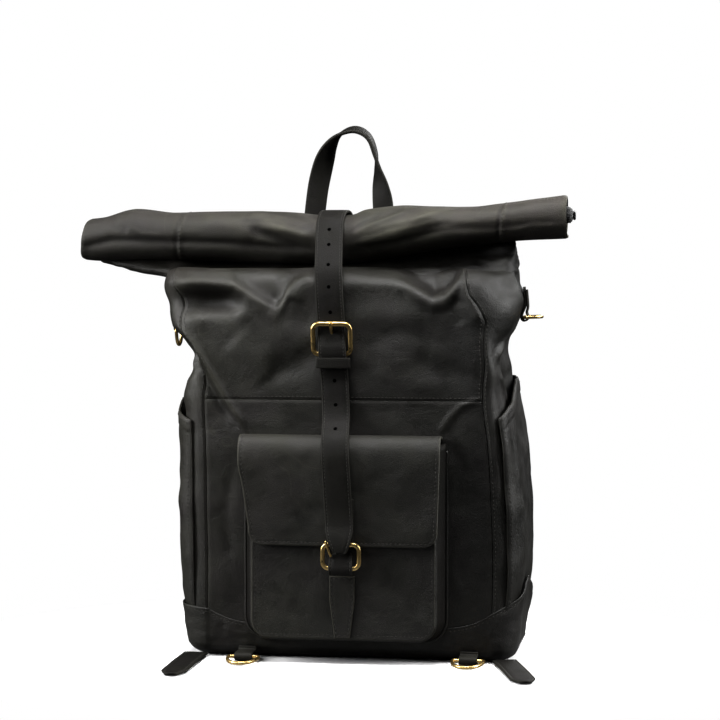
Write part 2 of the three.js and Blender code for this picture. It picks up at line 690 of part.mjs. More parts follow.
// x, y, z, turn of the width direction (0 along +X, 1 along +Y, 2 along -X), its upward lean
const HANDLE = [
  [HANDLE_X.left, 43, 405.5, 0, 0], [HANDLE_X.left, 44.5, 425, 0, 0],
  [-55.5, 47, 450, 0, 0], [-54, 48.8, 470, 0.02, 0],
  [-51.5, 50.4, 492, 0.06, 0], [-48.5, 51.4, 508, 0.16, 0],
  [-44, 52, 525, 0.38, 0.02], [-38, 52.6, 539.5, 0.66, 0.08],
  [-30, 53, 550.5, 0.88, 0.18], [-20, 53.3, 556.4, 0.98, 0.26],
  [-10, 53.4, 557.8, 1, 0.28], [0, 53.3, 553.6, 1, 0.24],
  [7, 53, 545, 1, 0.14], [11.8, 52.5, 530, 1.03, 0.05],
  [14.5, 51.8, 514, 1.24, 0], [17.6, 50.8, 496, 1.6, 0],
  [20.6, 49.2, 476, 1.9, 0], [HANDLE_X.right, 47, 450, 2, 0],
  [HANDLE_X.right, 44.5, 425, 2, 0], [HANDLE_X.right, 43, 405.5, 2, 0],
];
function addYoke() {
  put("back_yoke", panel({
    wall: "back", from: -0.62, to: 0.55, bottom: 345, top: 404,
    columns: 6, rows: 6, inset: -(LEATHER + GAP),
  }), BLACK);
}
function addHandleAnchors() {
  const halfWidth = 12;
  const { centreX, panelHalf } = outlineAt(385);
  for (const [side, x] of Object.entries(HANDLE_X))
    put("handle_anchor_" + side, panel({
      wall: "back",
      from: (x - halfWidth - centreX) / panelHalf,
      to: (x + halfWidth - centreX) / panelHalf,
      bottom: 372, top: 403, columns: 2, rows: 3, inset: -6.2, thickness: 2.5,
    }), BLACK);
}
function addHandle() {
  put("carry_handle", strap(HANDLE.map(([x, y, z, turn, lean]) => {
    const angle = (turn * Math.PI) / 2;
    const across = unit([Math.cos(angle), Math.sin(angle), lean]);
    return { point: [x, y, z], across, halfWidth: 11.5, thickness: 4 };
  })), STRAP_LEATHER);
}

// ---------- rings on leather loops ----------
const LOOP_T = 1.5; // leather of the ring loops
// The left ring hangs down, the right one sticks out sideways.
function addSideRing(side, sign, ringZ, away) {
  const y = -12;
  const wallX = (height, outset) => wallPoint(side, 0.45, ringZ + height, -outset)[0];
  const barX = wallX(0, 6.4);
  const centre = [barX, y, ringZ];
  const ring = dRing({ centre, bar: Y_AXIS, away, width: 25, height: 18, radius: 1.8 });
  put("side_ring_" + side, ring, BRASS);
  // height above the bar and distance off the wall
  const onWall = ([height, outset]) => [wallX(height, outset), ringZ + height];
  // distance outwards from the bar and height above it
  const roundBar = ([out, height]) => [barX + sign * out, ringZ + height];
  const path = [
    ...[[30, 1.6], [14, 1.7], [4, 1.9]].map(onWall),
    ...[[-3.4, -0.6], [-1.8, -3.2], [0.6, -3.7], [2.9, -2], [3.5, 1], [2.6, 6]].map(roundBar),
    ...[[14, 5], [28, 4.2]].map(onWall),
  ];
  const stations = path.map(([x, z]) =>
    ({ point: [x, y, z], across: Y_AXIS, halfWidth: 8, thickness: LOOP_T }));
  put("side_ring_loop_" + side, strap(stations), STRAP_LEATHER);
}
// Rings on the floor in front of the base; reach moves the ring forwards.
function addBaseRing(side, x, reach) {
  put("base_ring_" + side, dRing({
    centre: [x, -93 - reach, 4.6], bar: X_AXIS, away: [0, -0.9962, -0.0872],
    width: 32, height: 27, radius: 1.9,
  }), BRASS);
  // y, z; the middle part wraps the ring's bar and moves with it
  const roundBar = [[-93.4, 8.3], [-96.6, 6.6], [-97, 3.8], [-95.4, 1.6], [-92, 1.1]];
  const path = [
    [-84.6, 12.5], [-85.2, 9.5], [-88.6, 8.2],
    ...roundBar.map(([y, z]) => [y - reach, z]),
    [-86.5, 1.1], [-81.5, 1.1],
  ];
  const loop = strapAcrossX(path, { xAt: () => x, halfWidth: 9.5, thickness: LOOP_T });
  put("base_ring_loop_" + side, loop, STRAP_LEATHER);
}
// Pointed strap end lying on the floor, from a front corner of the base to its tip; x, y.
function addCornerTab(side, start, tip) {
  const reach = subtract(tip, start);
  const length = Math.hypot(...reach);
  const along = unit(reach);
  const sideways = [-along[1], along[0]];
  const shoulder = length - 16;
  const outline = [[0, -13], [shoulder, -13], [length, -6], [length, 6], [shoulder, 13], [0, 13]]
    .map(([p, q]) => add(add(start, along, p), sideways, q));
  put("corner_tab_" + side, prismXY(outline, 0.3, 3.3), STRAP_LEATHER);
}

// ---------- shoulder straps ----------
const SHOULDER_TOP_Z = 362;
const SHOULDER_FOOT_Z = 48;
// y, z, half width, thickness
const SHOULDER_PAD = [
  [68, 361, 12.5, 5], [75, 352, 15, 6], [86, 335, 21, 8], [95, 312, 26, 9],
  [101, 285, 29, 9], [103.6, 258, 29, 9], [103.4, 232, 26, 8], [102.2, 214, 21, 6.4],
  [99, 204, 16, 4], [95.6, 196, 13, 2.4], [94, 190, 12.5, 2.2], [93.4, 184, 12.5, 2.2],
  [93.6, 179, 12.5, 2.2],
];
// y, z
const SHOULDER_LOWER = [
  [92.4, 52], [94.6, 70], [95.6, 92], [96, 118], [95.2, 138], [94.1, 150], [93.1, 157],
  [93.6, 163], [97, 172], [100.6, 181], [101.3, 187], [104, 196], [108.4, 205],
  [111, 216], [112, 234],
];
// y, z
const SHOULDER_TONGUE = [
  [96.4, 180.4], [96.7, 175], [97.6, 170], [99.4, 165], [100.7, 160.5], [100.6, 156.4],
];
function addShoulderStrap(side, sign) {
  const topX = -19 + 48 * sign;
  const footX = -3 + 128 * sign;
  // straight from top to foot, bowed towards the middle of the back
  const xAt = (z) => {
    const share = (SHOULDER_TOP_Z - z) / (SHOULDER_TOP_Z - SHOULDER_FOOT_Z);
    return mix(topX, footX, share) - sign * 7 * Math.sin(Math.PI * share);
  };
  put("shoulder_pad_" + side, strapAcrossX(SHOULDER_PAD, { xAt }), STRAP_LEATHER);

  const z = 172; // middle of the buckle
  const x = xAt(z);
  const lower = strapAcrossX(SHOULDER_LOWER, { xAt, halfWidth: 12, thickness: 3 });
  const slot = slotCutter(x, 165.5, 179.5, 80, 120);
  put("shoulder_strap_lower_" + side, cut(lower, slot), STRAP_LEATHER);
  const frame = { x, y: 97, z, width: 34, height: 24, corner: 5, radius: 1.7 };
  put("shoulder_buckle_frame_" + side, buckleFrame(frame), BRASS);
  const tongue = wire(SHOULDER_TONGUE.map((point) => [x, ...point]), 1.1);
  put("shoulder_buckle_tongue_" + side, tongue, BRASS);

  const anchor = strapAcrossX(
    [[84.6, 20], [85, 32], [85.6, 45.5]],
    { xAt: () => footX, halfWidth: 13, thickness: 2.4 },
  );
  put("shoulder_anchor_" + side, anchor, STRAP_LEATHER);
}

// ---------- build ----------
addFrontPanels();
addSidePanels();
addBackPanel();
addBaseBoot();
addStiffener();
addLiningBag();
addSleeve();
addSidePocket("left", 248, 20);
addSidePocket("right", 252, 38);
addPocketGusset();
addPocketFront();
addEndPatch();
addPocketMagnet();
addFlap();
addRoll();
addClosingStrap();
addYoke();
addHandleAnchors();
addHandle();
addSideRing("left", -1, 343, [0, 0, -1]);
addSideRing("right", 1, 356, [0.9994, 0, 0.0349]);
addBaseRing("left", -103, 11);
addBaseRing("right", 130, 0);
addCornerTab("left", [-160, -78.5], [-158, -200]);
addCornerTab("right", [166, -74.5], [197, -189]);
for (const [side, sign] of SIDES) addShoulderStrap(side, sign);

export default root;
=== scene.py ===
import bpy
import math
import numpy as np
from collections import namedtuple
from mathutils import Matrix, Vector


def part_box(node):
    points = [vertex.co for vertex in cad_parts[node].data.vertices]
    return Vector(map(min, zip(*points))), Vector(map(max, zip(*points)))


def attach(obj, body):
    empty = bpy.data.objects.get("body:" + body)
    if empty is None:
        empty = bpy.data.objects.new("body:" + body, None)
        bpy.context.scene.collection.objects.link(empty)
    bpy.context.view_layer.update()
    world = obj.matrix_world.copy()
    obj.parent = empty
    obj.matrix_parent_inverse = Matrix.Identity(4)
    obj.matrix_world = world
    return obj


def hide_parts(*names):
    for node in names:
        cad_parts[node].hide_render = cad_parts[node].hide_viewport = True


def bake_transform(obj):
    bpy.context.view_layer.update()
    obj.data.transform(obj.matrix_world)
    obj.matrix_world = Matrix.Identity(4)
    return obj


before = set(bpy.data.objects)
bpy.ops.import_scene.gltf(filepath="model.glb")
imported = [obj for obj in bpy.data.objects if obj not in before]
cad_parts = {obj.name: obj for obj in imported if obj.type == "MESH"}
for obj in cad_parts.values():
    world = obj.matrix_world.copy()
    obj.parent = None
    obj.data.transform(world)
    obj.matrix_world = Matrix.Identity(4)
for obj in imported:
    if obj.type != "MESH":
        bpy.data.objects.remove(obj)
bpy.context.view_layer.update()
DENSITY = 1.0     # share of the full mesh density

# ------------------------------------------------------------------ outline of the bag
# height, half width, front y, back y, centre x, half width of the flat front
PROFILE = np.array([
    [0, 170, -74, 74, 3, 146], [12, 174.5, -80, 79, 3.5, 148],
    [45, 177.7, -83, 82, 3.7, 149], [100, 180, -85, 85, 4.5, 149.5],
    [150, 179, -86, 86, 3.5, 149], [220, 175.8, -86, 84, 1.3, 147.5],
    [270, 173.7, -85, 80, -2.7, 145.5], [300, 168.5, -84.5, 75, -1, 144.5],
    [322, 166, -84.5, 70, -4, 144], [345, 178.3, -84, 63, -9, 143],
    [370, 186.2, -83, 53, -7.2, 144], [390, 188.2, -80.5, 43, -11.2, 144],
    [402, 187.7, -72, 36.5, -12.3, 144], [408.5, 186.5, -58, 33, -12.5, 144]], float)
SEAM_Z = 271.0          # seam between the two front panels
WALL_TOP = 408.2
BACK_TOP = 408.5        # where the back turns up behind the roll
BOOT_FIT_TOP = 68       # height of the CAD's base boot


def profile(z):
    """Half width, front y, back y, centre x and flat half width at heights z."""
    heights = PROFILE[:, 0]
    last = len(heights) - 1
    z = np.clip(np.asarray(z, float), heights[0], heights[-1] - 1e-6)
    i = np.clip(np.searchsorted(heights, z, side="right") - 1, 0, last - 1)
    prev, nxt = np.maximum(i - 1, 0), np.minimum(i + 2, last)
    gap = heights[i + 1] - heights[i]
    t = (z - heights[i]) / gap
    t2, t3 = t * t, t * t * t
    found = []
    for column in PROFILE.T[1:]:
        low, high = column[i], column[i + 1]
        span_low = np.maximum(heights[i + 1] - heights[prev], 1e-9)
        span_high = np.maximum(heights[nxt] - heights[i], 1e-9)
        slope_low = np.where(i > 0, (high - column[prev]) / span_low * gap, high - low)
        slope_high = np.where(i + 2 <= last, (column[nxt] - low) / span_high * gap, high - low)
        found.append((2 * t3 - 3 * t2 + 1) * low + (t3 - 2 * t2 + t) * slope_low
                     + (-2 * t3 + 3 * t2) * high + (t3 - t2) * slope_high)
    return found


def fit_to_frame():
    """Scale and shift that lay the drawn foot of the bag on the frame's base boot."""
    half, front, back, mid, _ = profile(np.linspace(0, BOOT_FIT_TOP, 35))
    drawn = np.array([[(mid - half).min(), front.min(), 0.0],
                      [(mid + half).max(), back.max(), BOOT_FIT_TOP]])
    given = np.array([list(corner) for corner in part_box("base_boot")]) * 1000
    scale = (given[1] - given[0]) / (drawn[1] - drawn[0])
    scale = np.where(np.abs(scale - 1) < 0.02, scale, 1.0)
    shift = (given.sum(0) - drawn.sum(0) * scale) / 2
    return scale, np.where(np.abs(shift) < 3, shift, 0.0)


FRAME_SCALE, FRAME_SHIFT = fit_to_frame()


def to_frame(places):
    return (np.asarray(places, float) * FRAME_SCALE + FRAME_SHIFT) / 1000.0


def blend(obj, first, second, start, end):
    """Bake the piece's transform into its mesh; first, second, start and end (places in mm) are
    not used.
    """
    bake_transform(obj)


# ------------------------------------------------------------------ small maths
def smooth(start, end, x):
    t = np.clip((np.asarray(x, float) - start) / (end - start), 0, 1)
    return t * t * (3 - 2 * t)


LATTICE = np.random.RandomState(5).rand(48, 48, 48) * 2 - 1


def value_noise(x, y, z):
    places = np.broadcast_arrays(*(np.asarray(v, float) for v in (x, y, z)))
    cells = [np.floor(v).astype(int) for v in places]
    parts = [v - c for v, c in zip(places, cells)]
    parts = [f * f * f * (f * (6 * f - 15) + 10) for f in parts]
    total = 0
    for i in (0, 1):
        for j in (0, 1):
            for k in (0, 1):
                wx, wy, wz = [f if high else 1 - f for f, high in zip(parts, (i, j, k))]
                corner_value = LATTICE[tuple((c + d) % 48 for c, d in zip(cells, (i, j, k)))]
                total = total + wx * wy * wz * corner_value
    return total


def fbm(x, y, z, octaves=3):
    """Layered noise, each layer twice as fine and half as strong."""
    total, strength = 0, 1.0
    for k in range(octaves):
        f = 2 ** k
        total = total + strength * value_noise(x * f + 7.3 * k, y * f + 3.1 * k, z * f + 5.7 * k)
        strength *= 0.5
    return total


def unit(v):
    v = np.asarray(v, float)
    return v / np.maximum(np.linalg.norm(v, axis=-1, keepdims=True), 1e-9)


def signed_power(v, power):
    return np.sign(v) * np.abs(v) ** power


def lengths_along(places):
    steps = np.linalg.norm(np.diff(places, axis=0), axis=1)
    return np.concatenate([[0], np.cumsum(steps)])


def spline(rows, step):
    """Catmull-Rom through rows whose first three columns are the place, in even steps."""
    rows = np.asarray(rows, float)
    padded = np.vstack([2 * rows[0] - rows[1], rows, 2 * rows[-1] - rows[-2]])
    t = np.linspace(0, 1, 24, endpoint=False)[:, None]
    dense = []
    for i in range(1, len(padded) - 2):
        p0, p1, p2, p3 = padded[i - 1:i + 3]
        dense.append(0.5 * ((2 * p1) + (-p0 + p2) * t + (2 * p0 - 5 * p1 + 4 * p2 - p3) * t ** 2
                            + (-p0 + 3 * p1 - 3 * p2 + p3) * t ** 3))
    dense = np.vstack(dense + [rows[-1:]])
    length = lengths_along(dense[:, :3])
    count = max(3, int(round(length[-1] / step)) + 1)
    even = np.linspace(0, length[-1], count)
    return np.stack([np.interp(even, length, column) for column in dense.T], 1)


def round_corners(cx, cy, reach_x, reach_y, radius, steps):
    """Rounded rectangle; its corner centres lie reach_x and reach_y from (cx, cy)."""
    points = []
    for sx, sy, start in ((1, -1, -90), (1, 1, 0), (-1, 1, 90), (-1, -1, 180)):
        for k in range(steps + 1):
            angle = math.radians(start + 90 * k / steps)
            points.append((cx + sx * reach_x + radius * math.cos(angle),
                           cy + sy * reach_y + radius * math.sin(angle)))
    return np.array(points)


# ------------------------------------------------------------------ materials
BLACK, WHITE = (0, 0, 0), (1, 1, 1)


class Nodes:
    """Node tree of a material or world, with short ways to add nodes."""

    def __init__(self, owner):
        owner.use_nodes = True
        self.owner = owner
        self.tree = owner.node_tree
        self.coords = None

    def fill(self, node, inputs):
        """Set or link inputs, given by socket name or number."""
        for key, value in inputs.items():
            socket = node.inputs[key]
            if isinstance(value, bpy.types.NodeSocket):
                self.tree.links.new(value, socket)
            else:
                socket.default_value = (*value, 1) if socket.type == "RGBA" else value

    def add(self, kind, inputs=None, **settings):
        node = self.tree.nodes.new("ShaderNode" + kind)
        for key, value in settings.items():
            setattr(node, key, value)
        self.fill(node, inputs or {})
        return node

    def principled(self, inputs):
        self.fill(self.tree.nodes["Principled BSDF"], inputs)

    def attribute(self, name):
        return self.add("Attribute", attribute_name=name)

    def noise(self, scale, detail=4, roughness=0.55, distortion=0.0, coords=None):
        return self.add("TexNoise", {
            "Scale": scale, "Detail": detail, "Roughness": roughness,
            "Distortion": distortion, "Vector": coords or self.coords}).outputs["Fac"]

    def ramp(self, fac, *stops):
        """Colour ramp between two (position, colour) stops."""
        node = self.add("ValToRGB", {"Fac": fac})
        for element, (position, colour) in zip(node.color_ramp.elements, stops):
            element.position = position
            element.color = (*colour, 1)
        return node.outputs["Color"]

    def mask(self, fac, low, high):
        return self.ramp(fac, (low, BLACK), (high, WHITE))

    def mix(self, fac, first, second, mode="MIX"):
        # sockets 6 and 7 and output 2 are the colour ones
        return self.add("Mix", {0: fac, 6: first, 7: second},
                        data_type="RGBA", blend_type=mode).outputs[2]

    def math(self, operation, *values):
        return self.add("Math", dict(enumerate(values)), operation=operation).outputs[0]

    def map_range(self, value, source, target):
        return self.add("MapRange", {
            "Value": value, "From Min": source[0], "From Max": source[1],
            "To Min": target[0], "To Max": target[1]}).outputs["Result"]

    def bump(self, height, strength, distance, normal=None):
        inputs = {"Strength": strength, "Distance": distance, "Height": height}
        if normal:
            inputs["Normal"] = normal
        return self.add("Bump", inputs).outputs["Normal"]


def new_material(name):
    """Material whose textures follow the stored rest places."""
    mat = Nodes(bpy.data.materials.new(name))
    mat.coords = mat.attribute("rco").outputs["Vector"]
    return mat


def scaled(colour, factor, plus=0.0):
    return tuple(min(1, c * factor + plus) for c in colour)


def leather(name, dark, light, roughness, crease, specular, wear=0.5, painted_shading=None):
    """Mottled leather; painted_shading is painted light and shade, a factor on the colour at the
    left and right ends.
    """
    mat = new_material(name)
    mottle = mat.noise(scale=46, detail=5, roughness=0.62, distortion=0.3)
    patches = mat.noise(scale=9, detail=4, roughness=0.6, distortion=0.6)
    colour = mat.mix(0.42, mat.ramp(patches, (0.30, dark), (0.72, light)),
                     mat.ramp(mottle, (0.30, scaled(dark, 0.72)), (0.75, scaled(light, 1.25))))
    # areas of cooler hue
    areas = mat.noise(scale=15, detail=3, roughness=0.6, distortion=0.8)
    cool = tuple(c * factor for c, factor in zip(light, (0.92, 0.78, 1.12)))
    colour = mat.mix(mat.math("MULTIPLY", mat.mask(areas, 0.42, 0.62), 0.42), colour, cool)
    # long faint scuff lines, in places only
    worn = scaled(light, 2.1, 0.006)
    bands = mat.noise(scale=7.5, detail=2, roughness=0.5, distortion=1.3)
    distance = mat.math("ABSOLUTE", mat.math("SUBTRACT", bands, 0.5), 0.0)
    lines = mat.ramp(distance, (0.0, WHITE), (0.010, BLACK))
    places = mat.noise(scale=11, detail=3, roughness=0.6, distortion=0.5)
    scuffs = mat.math("MULTIPLY", lines, mat.mask(places, 0.50, 0.62))
    colour = mat.mix(mat.math("MULTIPLY", scuffs, 0.45 * wear), colour, worn)
    # raised edges and small scuffs go paler
    raised = mat.mask(mat.add("NewGeometry").outputs["Pointiness"], 0.50, 0.565)
    colour = mat.mix(mat.math("MULTIPLY", raised, wear), colour, worn)
    specks = mat.noise(scale=130, detail=6, roughness=0.7, distortion=1.5)
    specks = mat.mask(specks, 0.60, 0.74)
    colour = mat.mix(mat.math("MULTIPLY", specks, 0.5 * wear), colour, worn)
    edge = mat.attribute("edge").outputs["Fac"]
    edge = mat.math("MULTIPLY", edge, min(1.0, 0.9 * wear + 0.2))
    colour = mat.mix(edge, colour, scaled(light, 1.9, 0.004))
    # painted light and shade: the colour is scaled along x by the two factors, lighter on the
    # better-lit side and darker on the other
    if painted_shading:
        x = mat.add("SeparateXYZ", {0: mat.coords}).outputs[0]
        side = mat.math("MULTIPLY_ADD", x, 2.6, 0.5)
        tone = mat.ramp(side, (0.12, (painted_shading[0],) * 3), (0.86, (painted_shading[1],) * 3))
        colour = mat.mix(1.0, colour, tone, "MULTIPLY")
    # bumps: long soft creases, small cells, then pores
    turned = mat.add("Mapping", {"Scale": (1.0, 1.0, 1.15), "Rotation": (0.2, 0.35, 0.3),
                                 "Vector": mat.coords}).outputs["Vector"]
    creases = mat.noise(scale=34, detail=6, roughness=0.66, distortion=0.9, coords=turned)
    voronoi = mat.add("TexVoronoi", feature="DISTANCE_TO_EDGE")
    mat.fill(voronoi, {"Scale": 620, "Vector": mat.coords})
    cells = mat.mask(voronoi.outputs["Distance"], 0.0, 0.16)
    pores = mat.noise(scale=850, detail=3, roughness=0.6)
    normal = mat.bump(creases, strength=0.55 * crease, distance=0.0032)
    normal = mat.bump(cells, strength=0.30, distance=0.0005, normal=normal)
    normal = mat.bump(pores, strength=0.25, distance=0.0004, normal=normal)
    mat.principled({
        "Base Color": colour, "Specular IOR Level": specular, "Normal": normal,
        "Roughness": mat.map_range(mottle, source=(0.3, 0.72), target=roughness)})
    return mat.owner


def metal(name, base, dark, roughness=(0.22, 0.42)):
    """Metal with darker hollows; roughness is its least and greatest."""
    mat = new_material(name)
    tarnish = mat.noise(scale=210, detail=5, roughness=0.6, distortion=0.4)
    pointiness = mat.add("NewGeometry").outputs["Pointiness"]
    hollows = mat.ramp(pointiness, (0.43, WHITE), (0.50, BLACK))
    dull = tuple(0.55 * d + 0.45 * b for d, b in zip(dark, base))
    colour = mat.ramp(tarnish, (0.32, dull), (0.62, base))
    colour = mat.mix(mat.math("MULTIPLY", hollows, 0.6), colour, dark)
    fine = mat.noise(scale=900, detail=2, roughness=0.5)
    mat.principled({
        "Base Color": colour, "Metallic": 1,
        "Roughness": mat.map_range(tarnish, source=(0.3, 0.7), target=roughness[::-1]),
        "Normal": mat.bump(fine, strength=0.12, distance=0.0003)})
    return mat.owner


def cloth(name, dark, light, scale=900, sheen=0.3):
    mat = new_material(name)
    weave = mat.add("TexWave", {"Scale": scale, "Distortion": 1.0,
                                "Vector": mat.coords}).outputs["Fac"]
    colour = mat.mix(mat.noise(scale=60, detail=4), dark, light)
    colour = mat.mix(mat.math("MULTIPLY", weave, 0.35), colour, scaled(light, 1.8))
    mat.principled({"Base Color": colour, "Roughness": 0.85, "Sheen Weight": sheen,
                    "Normal": mat.bump(weave, strength=0.5, distance=0.0006)})
    return mat.owner


def thread(name, colour, roughness=0.75, specular=0.5):
    mat = new_material(name)
    fuzz = mat.noise(scale=1500, detail=2)
    mat.principled({"Base Color": mat.ramp(fuzz, (0.3, scaled(colour, 0.6)), (0.7, colour)),
                    "Roughness": roughness, "Specular IOR Level": specular})
    return mat.owner


# the last pair given to a leather is its painted shading: colour factors at its left and right
# ends, standing in for light falling more on one side
M_BODY = leather("body_leather", dark=(0.0050, 0.0048, 0.0032), light=(0.0215, 0.0205, 0.0142),
                 roughness=(0.42, 0.66), crease=0.46, specular=0.40, painted_shading=(1.0, 0.42))
# the roll's leather is a lighter copy of the body leather: partly the roll's greyer pulled-up
# leather, partly painted light for the top light the roll catches
M_ROLL_PAINTED_LIGHTER = leather("roll_leather_painted_lighter", dark=(0.0125, 0.0119, 0.0086), light=(0.0370, 0.0350, 0.0255),
                 roughness=(0.58, 0.74), crease=0.34, specular=0.36, painted_shading=(0.72, 1.25))
M_FLAP = leather("flap_leather", dark=(0.0060, 0.0057, 0.0040), light=(0.0205, 0.0196, 0.0135),
                 roughness=(0.52, 0.68), crease=0.34, specular=0.36, painted_shading=(1.0, 0.55))
M_STRAP = leather("strap_leather", dark=(0.0045, 0.0042, 0.0031), light=(0.0085, 0.0080, 0.0058),
                  roughness=(0.52, 0.66), crease=0.14, specular=0.17, wear=0.45)
M_BRASS = metal("antique_brass", base=(0.95, 0.72, 0.33), dark=(0.42, 0.27, 0.09),
                roughness=(0.24, 0.40))
M_STEEL = metal("plated_steel", base=(0.62, 0.62, 0.63), dark=(0.3, 0.3, 0.3))
M_LINING = cloth("lining_twill", dark=(0.010, 0.010, 0.011), light=(0.022, 0.022, 0.024))
M_ZIP = cloth("zip_tape", dark=(0.008, 0.008, 0.008), light=(0.02, 0.02, 0.02), scale=1400)
M_THREAD = thread("thread_tone", (0.024, 0.022, 0.017))
# near-black matt material for the strap holes: painted shade standing in for the shadowed inside
# of a punched hole
M_HOLE_PAINTED_SHADE = thread("punched_hole_painted_shade", (0.0008, 0.0008, 0.0008), roughness=1.0, specular=0.0)
M_BOARD = cloth("base_board", dark=(0.03, 0.028, 0.025), light=(0.05, 0.045, 0.04),
                scale=300, sheen=0.0)

# ------------------------------------------------------------------ mesh helpers
# which body a piece rides on, and its slot name
BAG_BODY = dict(body="bag", slot="body_leather")
BAG_STRAP = dict(body="bag", slot="strap_leather")
BAG_LINING = dict(body="bag", slot="lining")
ROLL_BODY = dict(body="roll", slot="body_leather")
FLAP_STRAP = dict(body="flap", slot="strap_leather")
FLAP_BRASS = dict(body="flap", slot="brass")
CLOSING_STRAP = dict(body="closing_strap", slot="strap_leather")
CLOSING_BRASS = dict(body="closing_strap", slot="brass")
LOOSE_STRAP = dict(slot="strap_leather")

SMALL_STITCH = dict(pitch=3.6, length=2.7, radius=0.34)
STRAP_STITCH = dict(pitch=3.8, length=2.8, radius=0.34)


def mesh_obj(name, verts, faces, mat, body=None, slot=None, replaces="", edge=None):
    """Smooth mesh object; replaces lists CAD nodes parted by spaces, edge is wear per vertex."""
    mesh = bpy.data.meshes.new(name)
    mesh.from_pydata(to_frame(verts).tolist(), [], [tuple(int(i) for i in f) for f in faces])
    mesh.validate()
    rest = mesh.attributes.new("rco", "FLOAT_VECTOR", "POINT")
    rest.data.foreach_set("vector", np.array([v.co for v in mesh.vertices], np.float32).ravel())
    if edge is not None:
        count = len(mesh.vertices)
        wear = np.pad(np.asarray(edge, np.float32).ravel(), (0, count))[:count]
        mesh.attributes.new("edge", "FLOAT", "POINT").data.foreach_set("value", wear)
    mesh.polygons.foreach_set("use_smooth", [True] * len(mesh.polygons))
    mesh.materials.append(mat)
    obj = bpy.data.objects.new(name, mesh)
    bpy.context.scene.collection.objects.link(obj)
    if replaces:
        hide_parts(*replaces.split())
    if body:
        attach(obj, body)
    return obj


def grid_faces(rows, cols, first=0, flip=False):
    i, j = np.meshgrid(np.arange(rows - 1), np.arange(cols - 1), indexing="ij")
    corners = [i * cols + j, (i + 1) * cols + j, (i + 1) * cols + j + 1, i * cols + j + 1]
    faces = np.stack(corners, -1).reshape(-1, 4) + first
    return faces[:, ::-1] if flip else faces


def sheet(name, outer, inner, mat, **tags):
    """Closed sheet between two grids of places (rows, cols, 3)."""
    rows, cols = outer.shape[:2]
    half = rows * cols
    i, j = np.arange(rows - 1) * cols, np.arange(cols - 1)
    end, last = cols - 1, (rows - 1) * cols
    faces = [
        grid_faces(rows, cols), grid_faces(rows, cols, half, flip=True),
        np.stack([i + cols, i, half + i, half + i + cols], 1),
        np.stack([i + end, i + cols + end, half + i + cols + end, half + i + end], 1),
        np.stack([j, j + 1, half + j + 1, half + j], 1),
        np.stack([last + j + 1, last + j, half + last + j, half + last + j + 1], 1)]
    verts = np.vstack([outer.reshape(-1, 3), inner.reshape(-1, 3)])
    return mesh_obj(name, verts, np.vstack(faces), mat, **tags)


def grid_normals(places):
    return unit(np.cross(np.gradient(places, axis=0), np.gradient(places, axis=1)))


def loft(name, rings, mat, closed=False, **tags):
    """Skin over rings; its ends meet when closed, else they get capped."""
    rings = np.asarray(rings, float)
    count, size = rings.shape[:2]
    verts = rings.reshape(-1, 3)
    k, i = np.meshgrid(np.arange(count if closed else count - 1), np.arange(size), indexing="ij")
    k_next, i_next = (k + 1) % count, (i + 1) % size
    corners = [k * size + i, k * size + i_next, k_next * size + i_next, k_next * size + i]
    faces = np.stack(corners, -1).reshape(-1, 4).tolist()
    if not closed:
        verts = np.vstack([verts, rings[0].mean(0), rings[-1].mean(0)])
        centre, last = count * size, (count - 1) * size
        for j in range(size):
            faces.append((centre, (j + 1) % size, j))
            faces.append((centre + 1, last + j, last + (j + 1) % size))
    return mesh_obj(name, verts, faces, mat, **tags)


# creased line beside each edge of a strap: distance in from the edge, height
STRAP_CREASE = ((1.6, 0), (2.3, -0.16), (2.8, -0.34), (3.3, -0.16), (4.1, 0.06))


def band_section(half, thick, crease):
    """Closed outline of a strap as (across, up); up is the outer face."""
    top, radius, steps = thick / 2, min(thick * 0.46, half * 0.4), 4
    points = []

    def arc(sx, sy, start, counts):
        for k in counts:
            angle = start - k * math.pi / 2 / steps
            points.append((sx * (half - radius) + radius * math.cos(angle),
                           sy * (top - radius) + radius * math.sin(angle)))

    arc(-1, 1, math.pi, range(steps + 1))
    if crease:
        fit = min(1.0, half / 7.5)
        points += [(-half + dx * fit, top + dz) for dx, dz in STRAP_CREASE]
        points += [(half * share, top + 0.14) for share in (-0.4, 0, 0.4)]
        points += [(half - dx * fit, top + dz) for dx, dz in reversed(STRAP_CREASE)]
    arc(1, 1, math.pi / 2, range(steps + 1))
    arc(1, -1, 0, range(1, steps + 1))
    arc(-1, -1, -math.pi / 2, range(steps))
    return np.array(points)


def frames_of(path, across):
    """Across direction made square to the path, and the normal."""
    forward = unit(np.gradient(path, axis=0))
    across = unit(across - forward * np.sum(across * forward, 1, keepdims=True))
    return across, np.cross(forward, across)


Run = namedtuple("Run", "place half across normal")


def band(name, rows, thick, mat=M_STRAP, step=2.0, crease=True, **tags):
    """Strap through rows of x, y, z, half width, across x, y, z; gives object and Run."""
    dense = spline(rows, step)
    place, half = dense[:, :3], dense[:, 3]
    across, normal = frames_of(place, dense[:, 4:7])
    rings, edge = [], []
    for k in range(len(place)):
        section = band_section(half[k], thick, crease)
        rings.append(place[k] + section[:, :1] * across[k] + section[:, 1:] * normal[k])
        edge.append(np.clip((np.abs(section[:, 0]) - (half[k] - 1.5)) / 0.8, 0, 1))
    obj = loft(name, rings, mat, edge=np.array(edge), **tags)
    return obj, Run(place, half, across, normal)


def x_rows(stations, half):
    """Band rows of one half width lying across x, from (x, y, z) stations."""
    return [[x, y, z, half, 1, 0, 0] for x, y, z in stations]


